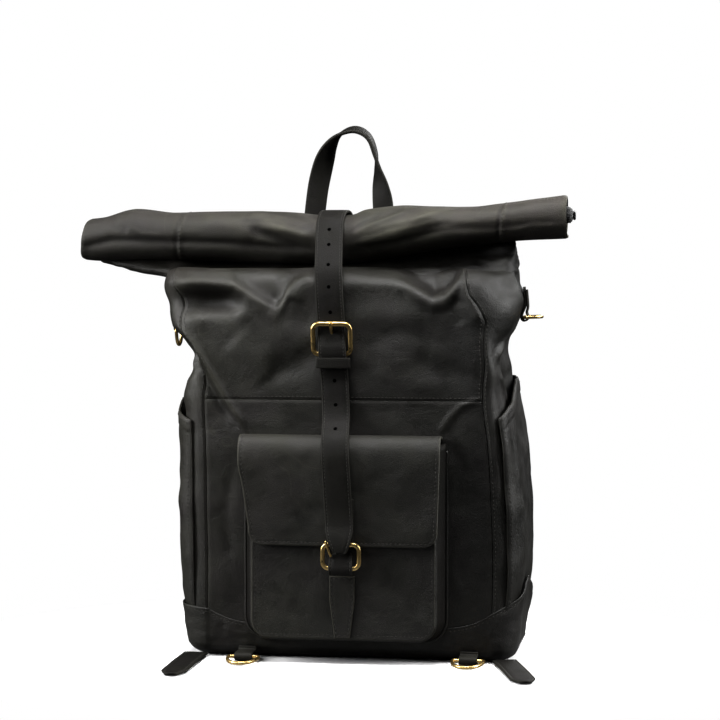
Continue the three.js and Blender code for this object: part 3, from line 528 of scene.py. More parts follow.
def tube(name, points, radius, mat, normal, closed=True, step=1.2, sides=14, square=0.0, **tags):
    """Wire through points; square > 0 flattens the sides of its section."""
    points = np.asarray(points, float)
    if closed:
        dense = spline(np.vstack([points, points[:3]]), step)
        # keep one lap
        gap, half = np.linalg.norm(dense - points[0], axis=1), len(dense) // 2
        dense = dense[int(np.argmin(gap[:half])):half + int(np.argmin(gap[half:]))]
        forward = unit(np.roll(dense, -1, 0) - np.roll(dense, 1, 0))
    else:
        dense = spline(points, step)
        forward = unit(np.gradient(dense, axis=0))
    side = unit(np.cross(forward, unit(np.array(normal, float))))
    up = unit(np.cross(side, forward))
    angle = np.arange(sides) / sides * 2 * np.pi
    cos, sin = (signed_power(f(angle), 1.0 - square) for f in (np.cos, np.sin))
    rings = (dense[:, None] + (radius * cos)[None, :, None] * side[:, None]
             + (radius * sin)[None, :, None] * up[:, None])
    return loft(name, rings, mat, closed=closed, **tags)


# rings of one stitch: place along its length, share of the radius, lift in radii
STITCH_RINGS = [(-0.5, 0.15, -0.5), (-0.38, 0.85, 0.0), (0.0, 1.0, 0.35),
                (0.38, 0.85, 0.0), (0.5, 0.15, -0.5)]
STITCH_SINK = 0.12


def stitches(name, places, normals, pitch=4.4, length=3.3, radius=0.42, **tags):
    """Row of small threads along a line lying on a surface."""
    places, normals = np.asarray(places, float), np.asarray(normals, float)
    run = lengths_along(places)
    if run[-1] < pitch * 1.5:
        return None
    count = int(run[-1] / pitch)
    middle = (np.arange(count) + 0.5) * run[-1] / count

    def sample(at, values):
        return np.stack([np.interp(at, run, values[:, k]) for k in range(3)], 1)

    centre = sample(middle, places)
    normal = unit(sample(middle, normals))
    forward = unit(sample(middle + 0.3, places) - sample(middle - 0.3, places))
    side = unit(np.cross(forward, normal))
    sides = 6
    angle = np.arange(sides) / sides * 2 * np.pi
    circle = (side[:, None] * np.cos(angle)[None, :, None]
              + normal[:, None] * np.sin(angle)[None, :, None])
    rings = []
    for along, share, lift in STITCH_RINGS:
        rings.append((centre - normal * STITCH_SINK)[:, None] + forward[:, None] * (along * length)
                     + normal[:, None] * (lift * radius) + circle * (share * radius))
    verts = np.stack(rings, 1).reshape(-1, 3)
    one = np.array([(k * sides + i, k * sides + (i + 1) % sides,
                     (k + 1) * sides + (i + 1) % sides, (k + 1) * sides + i)
                    for k in range(len(rings) - 1) for i in range(sides)])
    firsts = np.arange(count)[:, None, None] * (len(rings) * sides)
    return mesh_obj(name, verts, (firsts + one[None]).reshape(-1, 4), M_THREAD, **tags)


def towards(run, axis, sense):
    """1 when the run's middle normal points to the given sense of an axis, else -1."""
    return 1.0 if run.normal[len(run.normal) // 2][axis] * sense > 0 else -1.0


def edge_stitches(name, run, sign, inset, thick=3.2, skip=3, **tags):
    """Rows of thread along both edges of a band, on the face that sign picks."""
    normal = run.normal * sign
    made = []
    for side, letter in ((-1, "a"), (1, "b")):
        places = (run.place + run.across * ((run.half - inset) * side)[:, None]
                  + normal * (thick / 2 - 0.2))
        made.append(stitches(f"{name}_{letter}", places[skip:-skip], normal[skip:-skip], **tags))
    return [obj for obj in made if obj]


# ------------------------------------------------------------------ outline surface
def wall_at(where, along, z, inset=0.0):
    """Place on the bag's outline at height z, moved inwards by inset.

    along is -1..1 over the front or back and 0..1 from front to back on a side;
    on the front, beyond -1..1 it runs on round the side."""
    along, z, inset = np.broadcast_arrays(*(np.asarray(v, float) for v in (along, z, inset)))
    half, front, back, mid, flat = profile(z)
    if where == "back":
        return np.stack([mid + along * flat, back - inset, z], -1)
    depth = back - front
    radius = np.minimum(half - flat, depth / 2 - 1)
    arc, straight = math.pi / 2 * radius, depth - 2 * radius
    if where == "front":
        sign = np.where(along >= 0, 1.0, -1.0)
        run = (np.abs(along) - 1) * flat
    else:
        sign = 1.0 if where == "right" else -1.0
        run = along * (2 * arc + straight)
    turn1, turn2 = run / radius, (run - arc - straight) / radius
    inner = radius - inset
    centre = half - radius
    x = np.where(run < arc, centre + inner * np.sin(turn1),
                 np.where(run < arc + straight, half - inset, centre + inner * np.cos(turn2)))
    y = np.where(run < arc, front + radius - inner * np.cos(turn1),
                 np.where(run < arc + straight, front + radius + (run - arc),
                          back - radius + inner * np.sin(turn2)))
    x = np.where(run < 0, centre + run, x)
    y = np.where(run < 0, front + inset, y)
    return np.stack([mid + sign * x, y, z], -1)


# heights, and how far the front seam has wandered round the corner there
SEAM_SHIFT = {"left": ([285, 312, 335, 352, 390, 409], [0, 5, 18, 23, 30, 32]),
              "right": ([290, 326, 340, 352, 364, 379, 409], [0, 4, 9, 11, 4, -6, -8])}


def shifted(where, along, z):
    """Wall coordinate moved with the wandering corner seams."""
    half, front, back, _, flat = profile(z)
    left, right = (np.interp(z, *SEAM_SHIFT[side]) for side in ("left", "right"))
    if where == "front":
        return (along - left / flat * np.clip(-along, 0, 1) ** 2
                + right / flat * np.clip(along, 0, 1) ** 2)
    radius = np.minimum(half - flat, (back - front) / 2 - 1)
    total = math.pi * radius + (back - front) - 2 * radius
    shift = left if where == "left" else right
    return along + shift / total * np.clip(1 - along, 0, 1) ** 2


EDGE_MARKS = [0, 0.35, 0.9, 1.6, 2.5, 3.6, 5.0]


def marks(length, step, start_edge=True):
    """Positions 0..1 along a length, closer together near the edges."""
    start = EDGE_MARKS if start_edge else [0]
    end = [length - m for m in EDGE_MARKS][::-1]
    count = max(2, int((end[0] - start[-1]) / (step / DENSITY)))
    middle = np.linspace(start[-1], end[0], count + 1)[1:-1]
    return np.concatenate([start, middle, end]) / length


def ridge(across, up, points, width, height, fade=0.18):
    """Smooth ridge (or valley, height < 0) along a polyline, fading at both ends."""
    points = np.asarray(points, float)
    pieces = np.diff(points, axis=0)
    lengths = np.linalg.norm(pieces, axis=1)
    nearest, share, passed = np.full(np.shape(across), 1e9), np.zeros(np.shape(across)), 0.0
    for p, v, length in zip(points[:-1], pieces, lengths):
        t = ((across - p[0]) * v[0] + (up - p[1]) * v[1]) / (length * length)
        t = np.clip(t, 0, 1)
        gap = (across - p[0] - t * v[0]) ** 2 + (up - p[1] - t * v[1]) ** 2
        closer = gap < nearest
        nearest = np.where(closer, gap, nearest)
        share = np.where(closer, (passed + t * length) / lengths.sum(), share)
        passed += length
    window = smooth(0, fade, share) * smooth(0, fade, 1 - share)
    return height * (0.25 + 0.75 * window) * np.exp(-nearest / (width * width))


def add_ridges(total, across, up, table):
    for entry in table:
        total = total + ridge(across, up, *entry)
    return total


# heights, and how far each side wall is drawn in there
TRIM = {
    "right": ([0, 33, 63, 93, 112, 138, 168, 198, 227, 257, 272, 287, 302, 316, 331, 346, 361,
               376, 396, 409],
              [2.5, 3.2, 3.5, 3.4, 3.2, 3.4, 4.5, 5.8, 6.8, 6.8, 7.4, 7.8, 7.0, 7.0, 5.6, 1.0,
               0.0, 0.0, 0, 0]),
    "left": ([0, 230, 257, 272, 290, 302, 316, 331, 346, 361, 376, 409],
             [0, 1, 3, 0, 0, 5, 8, 5, -1.5, -2.0, -1, 0])}
# (x, z) of the curved top fold of the front
SHELF = np.array([
    (-190, 409), (-126, 404), (-113, 391), (-94, 380), (-79, 372.5), (-72, 370), (-66, 377),
    (-61.6, 389), (-53, 398), (-42, 403), (-30, 404.5), (0, 404), (31, 404), (50, 402.5),
    (63, 399.5), (77, 390.5), (91, 382), (103, 384.5), (110, 390.5), (116, 400), (124, 412),
    (190, 430)], float)
# x, and how deep the front is drawn back above the fold there
SHELF_DEPTH = ([-130, -105, -75, -62, -35, 0, 40, 62, 90, 112, 126],
               [0, 9, 11, 8, 5, 7, 14, 22, 26, 18, 0])


def trim(side, z):
    return np.interp(z, *TRIM[side])


def shelf(x, z):
    """How far the front is drawn back above its curved top fold."""
    fold_z = np.interp(x, SHELF[:, 0], SHELF[:, 1])
    depth = np.interp(x, *SHELF_DEPTH)
    rise = np.clip((z - fold_z + 7) / 13.0, 0, 1)
    lip = 0.14 * depth * np.exp(-((z - fold_z + 12) / 7.0) ** 2)
    return depth * (1 - np.cos(np.pi * rise)) / 2 - lip


# Ridge tables: polyline, width, height (and fade where it isn't the usual one).
FRONT_FOLDS = [     # polylines in (x, z)
    # lip and edge of the hollow under the left wing
    ([(-186, 392), (-150, 391), (-116, 388), (-95, 379), (-75, 371)], 6.5, 3.6),
    ([(-120, 384), (-106, 372), (-112, 352)], 8, 2.0),
    # the lobe beside the strap and the slack below it
    ([(-52, 372), (-46, 390), (-34, 400)], 11, 2.6),
    ([(-84, 374), (-60, 356), (-30, 348)], 12, -1.6),
    ([(-20, 326), (-48, 308), (-84, 300)], 13, -3.0),
    ([(-120, 336), (-96, 314), (-78, 290)], 17, 2.6),
    # diagonal crease running down from the side to the pocket
    ([(-184, 354), (-160, 330), (-150, 313), (-141, 298), (-126, 273), (-110, 250),
      (-105, 236)], 3.6, 4.2),
    ([(-176, 334), (-160, 312), (-150, 294), (-134, 268), (-118, 244)], 6.0, -3.6),
    # right half
    ([(6, 352), (44, 362), (86, 358)], 12, 1.3),
    ([(22, 334), (60, 342), (104, 334)], 10, -1.2),
    ([(128, 402), (124, 386), (133, 367), (142, 352)], 5.0, 2.4),
    ([(118, 380), (112, 366), (122, 348)], 7, -1.8),
    ([(98, 236), (111, 256), (123, 267), (142, 274)], 3.4, 1.5),
    ([(70, 318), (100, 300), (136, 296)], 11, -1.3),
    ([(26, 300), (60, 290), (110, 284)], 10, 1.1),
    # beside the front pocket
    ([(112, 236), (124, 196), (120, 150)], 7, -1.4),
    ([(-118, 200), (-126, 150), (-120, 100)], 7, -1.4),
    ([(120, 130), (112, 96), (128, 60)], 6, 1.0)]
SIDE_FOLDS = [      # both sides, polylines in (y, z)
    ([(-78, 322), (-20, 314), (40, 322)], 9, 2.0),
    ([(-70, 300), (-10, 292), (60, 300)], 8, -2.0),
    ([(-60, 392), (-30, 372), (10, 380)], 9, 2.0),
    ([(-40, 404), (-8, 388), (22, 400)], 8, -2.4)]
RIGHT_FOLDS = [
    ([(-12, 364), (-46, 338), (-80, 312)], 4.5, 4.0),
    ([(-74, 300), (-52, 284), (-40, 262)], 5, 2.0),
    ([(-60, 306), (-30, 286), (-20, 270)], 6, -2.0)]
LEFT_FOLDS = [
    ([(-30, 352), (-60, 326), (-78, 300)], 5, 3.0),
    ([(-66, 290), (-40, 274), (-20, 262)], 6, -2.0)]
BACK_FOLDS = [      # polylines in (x, z)
    ([(-120, 300), (-60, 312), (0, 304)], 12, 1.5),
    ([(20, 280), (90, 296), (130, 288)], 12, -1.5)]


def folds(place, normal):
    """How far the soft body stands out from the plain outline."""
    x, y, z = place[..., 0], place[..., 1], place[..., 2]
    on_front = smooth(0.35, 0.9, -normal[..., 1])
    on_right = smooth(0.3, 0.9, normal[..., 0])
    on_left = smooth(0.3, 0.9, -normal[..., 0])
    on_back = smooth(0.35, 0.9, normal[..., 1])
    belly = 1 - np.clip(x / 150, -1, 1) ** 2
    out = 2.6 * belly * np.sin(np.pi * np.clip(z / 400, 0, 1)) * on_front
    # hollow under the left wing with a hard upper lip
    hollow = (-14.0 * np.exp(-np.abs((x + 146) / 38.0) ** 3)
              * np.exp(-np.abs((z - 373) / 13.0) ** 2.5))
    out = out + add_ridges(hollow, x, z, FRONT_FOLDS) * on_front
    # soft sides: a waist with folds running round it
    for weight in (on_right, on_left):
        out = out + add_ridges(0.0, y, z, SIDE_FOLDS) * weight
    out = out + on_right * add_ridges(0.0, y, z, RIGHT_FOLDS)
    out = out + on_left * add_ridges(0.0, y, z, LEFT_FOLDS)
    out = out + on_back * add_ridges(0.0, x, z, BACK_FOLDS)
    out = (out - 3.0 * np.exp(-((z - 317) / 7.5) ** 2) * on_left
           - trim("left", z) * on_left - trim("right", z) * on_right)
    # dent in the upper right front corner
    out = out - 8.0 * np.exp(-((x - 160) / 22.0) ** 2 - ((y + 62) / 22.0) ** 2
                             - ((z - 388) / 20.0) ** 2)
    broad = fbm(x / 84.0, y / 70.0, z / 60.0, 3)
    fine = fbm(x / 26.0 + 9, y / 26.0, z / 22.0, 2)
    out = out + broad * (0.9 + 0.9 * smooth(262, 330, z)) + fine * 0.14
    # the wall stays flat behind the side rings
    for weight, ring_z in ((on_right, 366), (on_left, 353)):
        spot = np.exp(-((y + 12) / 20.0) ** 2 - ((z - ring_z) / 26.0) ** 2)
        out = out * (1 - 0.9 * weight * spot)
    return out * smooth(6, 60, z)


def as_edge(value):
    """A panel's edge height as a function of the wall coordinate."""
    return value if callable(value) else lambda along: np.full(np.shape(along), float(value))


def panel(name, where, start, end, bottom, top, replaces, mat=M_BODY, thick=2.6, inset=0.0,
          extra=None, step=2.3, dip=0.9, foot_edge=True, stitch=(), stitch_inset=2.6,
          fold=True, slot="body_leather", wander=False):
    """Leather panel on the outline between two wall coordinates and two edge heights.

    dip sinks its edges, extra(along, z, place) adds relief, stitch names the sewn
    edges: u0 and u1 are its start and end, z0 and z1 its bottom and top."""
    bottom, top = as_edge(bottom), as_edge(top)
    middle = np.array((start + end) / 2)
    low, high = float(bottom(middle)), float(top(middle))
    width = lengths_along(wall_at(where, np.linspace(start, end, 60), (low + high) / 2, inset))[-1]
    height = high - low

    def surface(along, z, edge_gap):
        if wander:
            along = shifted(where, along, z)
        place = wall_at(where, along, z, inset)
        tiny = 1e-3
        over = wall_at(where, along + tiny, z, inset) - wall_at(where, along - tiny, z, inset)
        up = wall_at(where, along, z + 0.4, inset) - wall_at(where, along, z - 0.4, inset)
        normal = unit(np.cross(over, up))
        if where in ("back", "left"):
            normal = -normal
        out = folds(place, normal) if fold else 0.0
        if extra is not None:
            out = out + extra(along, z, place)
        out = out - dip * np.exp(-(edge_gap / 1.7) ** 2)
        moved = place + normal * np.asarray(out)[..., None]
        if where == "front" and fold:
            moved[..., 1] += shelf(place[..., 0], place[..., 2])
        return moved, normal

    def height_at(along, share):
        return bottom(along) + (top(along) - bottom(along)) * share

    wide, tall = marks(width, step), marks(height, step, foot_edge)
    along = (start + (end - start) * wide)[:, None] * np.ones((1, len(tall)))
    gap_side = np.minimum(wide * width, (1 - wide) * width)[:, None]
    gap_end = np.minimum(tall * height if foot_edge else 1e3, (1 - tall) * height)[None, :]
    outer, normal = surface(along, height_at(along, tall[None, :]), np.minimum(gap_side, gap_end))
    sheet(name, outer, outer - normal * thick, mat, body="bag", slot=slot, replaces=replaces)
    for side in stitch:
        share = np.linspace(0.01, 0.99, 160)
        fixed = stitch_inset / (width if side[0] == "u" else height)
        fixed = fixed if side[1] == "0" else 1 - fixed
        if side[0] == "u":
            line = np.full(len(share), start + (end - start) * fixed)
            places, normals = surface(line, height_at(line, share), stitch_inset)
        else:
            line = start + (end - start) * share
            places, normals = surface(line, height_at(line, fixed), stitch_inset)
        stitches(f"{name}_stitch_{side}", places, normals, body="bag", slot=slot)


# ------------------------------------------------------------------ bag body
def boot_edge(where, along):
    """Height of the boot's rim."""
    along = np.asarray(along, float)
    if where == "back":
        return 34 + 2 * along * along + 15 * along ** 8
    if where == "front":
        return np.where(along > 0, 34 + 3 * along * along + 15 * np.abs(along) ** 8,
                        34 + 2 * along * along + 15 * np.abs(along) ** 6)
    if where == "right":
        return np.where(along < 0.45,
                        52 + 30 * np.sin(np.pi * np.clip(along / 0.45, 0, 1) / 2),
                        82 - 31 * smooth(0.45, 1, along))
    return 51 + 6 * np.sin(np.pi * along)


def below_boot_edge(where, drop):
    return lambda along: boot_edge(where, along) - drop


WALL_LAP = 5            # how far the walls run down behind the boot's rim
panel("front_upper_panel", "front", -1, 1, SEAM_Z + 0.3, WALL_TOP, "front_panel_upper",
      stitch=("z0", "u0", "u1"), stitch_inset=2.8, wander=True, dip=0.5)
panel("front_lower_panel", "front", -1, 1, below_boot_edge("front", WALL_LAP), SEAM_Z - 0.1,
      "front_panel_lower", foot_edge=False, dip=0.5)
for side in ("left", "right"):
    panel("side_wall_" + side, side, 0.004, 0.996, below_boot_edge(side, WALL_LAP), WALL_TOP,
          "side_panel_" + side, foot_edge=False, stitch=("u0",), wander=True)


def back_wall():
    """Back panel, which carries on up behind the roll."""
    width, stitch_inset, thick = 288, 3.0, 2.6
    rise = np.concatenate([np.linspace(0, 1, int(150 * DENSITY)),
                           1 + np.linspace(0, 1, int(20 * DENSITY))[1:]])[None, :]
    wide = marks(width, 2.6)
    along = (-1 + 2 * wide)[:, None] * np.ones((1, rise.size))
    low = boot_edge("back", along) - WALL_LAP
    place = wall_at("back", along, low + (BACK_TOP - low) * np.minimum(rise, 1))
    # upper part: share of its rise, then y and z
    share, ys, zs = [0, 0.33, 0.73, 1], [33.0, 29.8, 27.8, 27.2], [BACK_TOP, 422, 438, 449]
    above = np.clip(rise - 1, 0, 1)
    place[..., 1] = np.where(rise > 1, np.interp(above, share, ys), place[..., 1])
    place[..., 2] = np.where(rise > 1, np.interp(above, share, zs), place[..., 2])
    normal = grid_normals(place)
    normal = np.where(normal[..., 1:2] < 0, -normal, normal)
    edge_gap = np.minimum(wide, 1 - wide)[:, None] * width
    out = (folds(place, normal) * 0.6 * smooth(440, 380, place[..., 2])
           - 0.9 * np.exp(-(edge_gap / 1.7) ** 2))
    outer = place + normal * out[..., None]
    sheet("back_wall", outer, outer - normal * thick, M_BODY, **BAG_BODY, replaces="back_panel")
    for letter, spot in (("a", stitch_inset / width), ("b", 1 - stitch_inset / width)):
        i = int(np.argmin(np.abs(wide - spot)))
        stitches("back_wall_stitch_" + letter, outer[i], normal[i], **BAG_BODY)


back_wall()


def round_bag(wide, deep):
    """Wall coordinates once round the bag, as (wall, values) from the front's left end."""
    return [(where, np.linspace(start, end, int(count * DENSITY), endpoint=False))
            for where, count, start, end in (("front", wide, -1, 1), ("right", deep, 0, 1),
                                             ("back", wide, 1, -1), ("left", deep, 1, 0))]


def ring_normals(ring):
    along = np.roll(ring, -1, 0) - np.roll(ring, 1, 0)
    return unit(np.stack([along[:, 1], -along[:, 0], 0 * along[:, 0]], -1))


def boot():
    """Base boot: wraps under the bag, its rim lies over the walls."""
    walls = round_bag(120, 90)

    def swell(where, along, z, share):
        """How far the boot stands out from the outline."""
        if where in ("left", "right"):
            lift = 2.8 * smooth(0.02, 0.16, along) * smooth(0.98, 0.84, along)
            offset, scale, corners = 3, 5, 1.0
        else:
            lift, offset, scale = 0.0, 0, 11
            corners = smooth(0.25, 0.85, np.abs(along))
        crinkle = (0.5 * fbm(along * 4 + offset, z / 20.0, 1.0, 3)
                   + (0.9 * fbm(along * scale + 2, z / 15.0, 4.0, 3) * corners))
        return 1.3 + lift * share + crinkle

    def ring(height, inset=0.0, lift=None):
        """Ring at a height (number or function); lift is the share of the side swell."""
        parts = []
        for where, along in walls:
            z = (height(where, along) if callable(height) else height) + 0 * along
            inward = inset if lift is None else inset - swell(where, along, z, lift)
            if where == "right":
                bow = np.sin(np.pi * np.clip(along, 0, 1)) ** 0.5
                inward = inward + 0.85 * trim("right", z) * bow * smooth(4, 14, z)
            place = wall_at(where, along, np.maximum(z, 0), inward)
            place[:, 2] = z
            parts.append(place)
        return np.vstack(parts)

    def below(drop):
        return lambda where, along: boot_edge(where, along) - drop

    groove = 3.8            # distance of the stitched groove below the rim
    drops = (0.5, 1.3, 2.4, groove, 5.5, 8)
    rings = [ring(below(0), 1.0, 1), ring(below(-0.1), 0.35, 1)]
    rings += [ring(below(drop), 0.25 * math.exp(-((drop - groove) / 0.9) ** 2), 1)
              for drop in drops]
    stitch_line = rings[2 + drops.index(groove)]
    for g in np.linspace(0.08, 1, int(16 * DENSITY) + 4):
        rings.append(ring(lambda w, along: (boot_edge(w, along) - 8) * (1 - g) + 12 * g,
                          lift=1 - g))
    # rounded foot: height, inset
    for z, inset in ((9, -0.6), (6.2, 0.6), (4, 2.2), (2.2, 4.2), (1.0, 6.6), (0.35, 9.6),
                     (0.05, 14)):
        rings.append(ring(z, inset))
    # sole and the floor inside it: share of the foot ring, height
    centre = np.array([-3, 0, 0.05])
    foot = rings[-1]
    sole = [(share, 0.05 + 0.5 * (1 - share)) for share in (0.8, 0.55, 0.3, 0.05)]
    for share, z in sole + [(0.05, 3.3), (0.5, 3.3), (0.97, 3.3)]:
        flat = centre + (foot - centre) * share
        flat[:, 2] = z
        rings.append(flat)
    rings += [ring(6.0, 5.4), ring(13.0, 3.0), ring(below(6), 0.6), ring(below(0.4), 1.6, 1)]
    loft("boot_shell", rings, M_BODY, closed=True, **BAG_BODY, replaces="base_boot")
    outward = unit(np.stack([stitch_line[:, 0] + 3, stitch_line[:, 1],
                             0 * stitch_line[:, 0]], -1))
    normal = ring_normals(stitch_line)
    normal = np.where((normal * outward).sum(1, keepdims=True) < 0, -normal, normal)
    stitches("boot_rim_stitch", np.vstack([stitch_line, stitch_line[:1]]),
             np.vstack([normal, normal[:1]]), **BAG_BODY)


boot()


# ------------------------------------------------------------------ side pockets
def side_pocket(side, mouth, rise):
    """Pocket on a side wall; its mouth rises from front to back."""
    def share_of(along):
        return np.clip((along - 0.07) / 0.85, 0, 1)

    def top(along):
        return mouth + rise * np.minimum(1, share_of(along) / 0.4) ** 0.85

    bottom = below_boot_edge(side, 7)

    def bulge(along, z, place):
        share = share_of(along)
        up = np.clip((z - bottom(along)) / (top(along) - bottom(along)), 0, 1)
        out = 3.4 + 7.4 * np.sin(np.pi * share) ** 0.7 * np.minimum(1, 0.02 + up * 1.7)
        out = out - 2.3 * (1 - smooth(0, 0.12, up))
        y, z_place = place[..., 1], place[..., 2]
        out = (out + 1.3 * fbm(y / 40.0 + 4, z_place / 55.0, 2.0, 3) * smooth(0, 0.1, share)
               + 0.35 * fbm(y / 12.0, z_place / 18.0, 5.0, 2))
        out = add_ridges(out, y, z_place, [([(-70, 190), (-40, 160), (-50, 110)], 8, -1.8),
                                           ([(-60, 232), (-20, 215), (30, 222)], 9, 1.6)])
        # hem below the mouth
        drop = top(along) - z
        out = out - 0.55 * np.exp(-((drop - 14) / 1.3) ** 2) + 0.5 * smooth(16, 11, drop)
        if side == "right":
            out = out + 1.0 * np.exp(-(share / 0.10) ** 2) * np.sin(z / 11.0) * smooth(0, 0.3, up)
        return out - trim(side, z_place) * smooth(0.0, 0.12, share) * smooth(1.0, 0.9, share)

    panel("side_pocket_face_" + side, side, 0.075, 0.915, bottom, top, "side_pocket_" + side,
          thick=2.2, extra=bulge, fold=False, foot_edge=False, stitch=("u0", "u1", "z1"),
          stitch_inset=4.0)


side_pocket("left", mouth=248, rise=20)
side_pocket("right", mouth=252, rise=38)

# ------------------------------------------------------------------ front pocket
POCKET_Y = -110.0
POCKET_LEFT, POCKET_RIGHT, POCKET_BOTTOM, POCKET_TOP, POCKET_CORNER = -94, 98, 26, 222, 19


def plate(name, start, end, left, right, surface, thick, mat, body, slot, replaces,
          step=2.2, stitch="lrb", inset=3.6):
    """Plate between left(z) and right(z) on surface(x, z), which gives place and normal."""
    tall = marks(end - start, step)
    rows = start + (end - start) * tall
    lefts, rights = np.array([left(z) for z in rows]), np.array([right(z) for z in rows])
    wide = marks(float((rights - lefts).mean()), step)
    x = lefts[None, :] + (rights - lefts)[None, :] * wide[:, None]
    place, normal = surface(x, rows[None, :] + 0 * x)
    gap = np.minimum(np.minimum(wide, 1 - wide)[:, None] * (rights - lefts)[None, :],
                     np.minimum(tall, 1 - tall)[None, :] * (end - start))
    radius = thick * 0.5
    drop = radius - np.sqrt(np.maximum(0, radius ** 2 - np.clip(radius - gap, 0, radius) ** 2))
    groove = 0.28 * np.exp(-((gap - inset) / 0.8) ** 2)
    outer = place + normal * (-drop - groove)[..., None]
    inner = place - normal * (thick - drop)[..., None]
    edge = np.clip(1.6 - gap, 0, 1)
    sheet(name, outer, inner, mat, body=body, slot=slot, replaces=replaces,
          edge=np.stack([edge, edge]))
    count = 120
    for side in stitch:
        if side in "lr":
            z = np.linspace(start + inset, end - inset, count)
            x = np.array([left(v) + inset if side == "l" else right(v) - inset for v in z])
        else:
            row = start + inset if side == "b" else end - inset
            x = np.linspace(left(row) + inset, right(row) - inset, count)
            z = np.full(count, row)
        place, normal = surface(x, z)
        stitches(f"{name}_stitch_{side}", place - normal * 0.25, normal, body=body, slot=slot)


def corner(z, bottom, radius):
    """How far a rounded lower corner draws the side in at height z."""
    return radius - math.sqrt(max(0.0, radius * radius - max(0.0, bottom + radius - z) ** 2))


def facing_front(x, y, z):
    return np.stack([x, y, z], -1), np.stack([0 * x, 0 * x - 1, 0 * x], -1)


def pocket_surface(x, z):
    y = POCKET_Y + 0.0 * x - 0.5 * fbm(x / 50.0, z / 50.0, 3.0, 3)
    y = add_ridges(y, x, z, [([(-60, 60), (-30, 48), (20, 50)], 10, 0.8),
                             ([(40, 90), (70, 70), (86, 50)], 9, 0.9)])
    return facing_front(x, y, z)


plate("pocket_face", POCKET_BOTTOM, POCKET_TOP,
      lambda z: POCKET_LEFT + corner(z, POCKET_BOTTOM, POCKET_CORNER),
      lambda z: POCKET_RIGHT - corner(z, POCKET_BOTTOM, POCKET_CORNER),
      pocket_surface, 2.4, M_BODY, **BAG_BODY, replaces="pocket_front", inset=4.2)


def gusset():
    """Wall round the front pocket, with a welt along each of its edges."""
    top, thick = 228, 2.2
    count = int(26 * DENSITY)
    turn = np.linspace(0, math.pi / 2, 12)[1:]

    def outline(left, right, bottom, radius):
        low = bottom + radius
        points = [(right, top)]
        points += [(right, z) for z in np.linspace(top, low, count)[1:]]
        points += [(right - radius + radius * math.cos(a), low - radius * math.sin(a))
                   for a in turn]
        points += [(x, bottom) for x in np.linspace(right - radius, left + radius,
                                                    count + 20)[1:]]
        points += [(left + radius - radius * math.sin(a), low - radius * math.cos(a))
                   for a in turn]
        points += [(left, z) for z in np.linspace(low, top, count)[1:]]
        return np.array(points)

    back = outline(-103, 106, 22, 24)
    front = outline(POCKET_LEFT, POCKET_RIGHT, POCKET_BOTTOM, POCKET_CORNER)
    back_y = -87.4
    columns = []
    for share in np.linspace(0, 1, 16):
        line = back + (front - back) * share
        outward = unit(line - np.array([1.5, 150.0]))
        bell = math.sin(math.pi * share)
        wave = (-1.6 * bell
                + 0.8 * fbm(line[:, 0] / 22.0, line[:, 1] / 22.0, share * 1.5, 3) * bell)
        line = line + outward * wave[:, None]
        y = back_y + (POCKET_Y + 2.6 - back_y) * share
        columns.append(np.stack([line[:, 0], np.full(len(line), y), line[:, 1]], -1))
    outer = np.stack(columns, 1)
    outward = outer - np.array([1.5, 0, 150.0])
    outward[..., 1] = 0
    # the gusset wall takes the darker strap leather: painted shade for the shade the pocket's
    # sides lie in
    sheet("pocket_gusset_wall", outer, outer - unit(outward) * thick, M_STRAP, **BAG_BODY,
          replaces="pocket_gusset")
    for name, x, y, z, below, radius in (
            ("pocket_welt", front[:, 0], POCKET_Y + 2.2, front[:, 1], 222, 1.5),
            ("pocket_back_welt", back[:, 0] * 1.012, -86.6, back[:, 1] - 0.6, 226, 1.4)):
        line = np.stack([x, np.full(len(x), y), z], -1)
        tube(name, line[line[:, 2] < below], radius, M_BODY, closed=False, step=2.4, sides=10,
             normal=(0, 1, 0), **BAG_BODY)


gusset()

# patch under the second buckle: heights, then its left and right x there
PATCH_Z, PATCH_LEFT, PATCH_RIGHT = [27.6, 66, 92], [-6.5, -11.5, -11.5], [10, 15, 15]
plate("strap_patch", PATCH_Z[0], PATCH_Z[-1],
      lambda z: float(np.interp(z, PATCH_Z, PATCH_LEFT)),
      lambda z: float(np.interp(z, PATCH_Z, PATCH_RIGHT)),
      lambda x, z: facing_front(x, np.full(np.shape(x), POCKET_Y - 2.8), z), 2.2, M_FLAP,
      **BAG_STRAP, replaces="strap_end_patch", step=1.4, inset=2.6, stitch="lrbt")

# flap: bent over the pocket; (y, z) of the bend line from the back to the lower edge
FLAP_LINE = [(-87.6, 233), (-90, 234.6), (-95, 235.9), (-101, 235.6), (-107, 232.6),
             (-111.4, 226.8), (-113.9, 219), (-114.8, 207), (-114.8, 180), (-114.9, 150),
             (-114.9, 122.5)]
FLAP_BOTTOM, FLAP_CORNER = FLAP_LINE[-1][1], 16
FLAP_BEND = spline([(y, z, 0) for y, z in FLAP_LINE], 0.5)[:, :2]
FLAP_RUN = lengths_along(FLAP_BEND)
FLAP_TANGENT = unit(np.gradient(FLAP_BEND, axis=0))


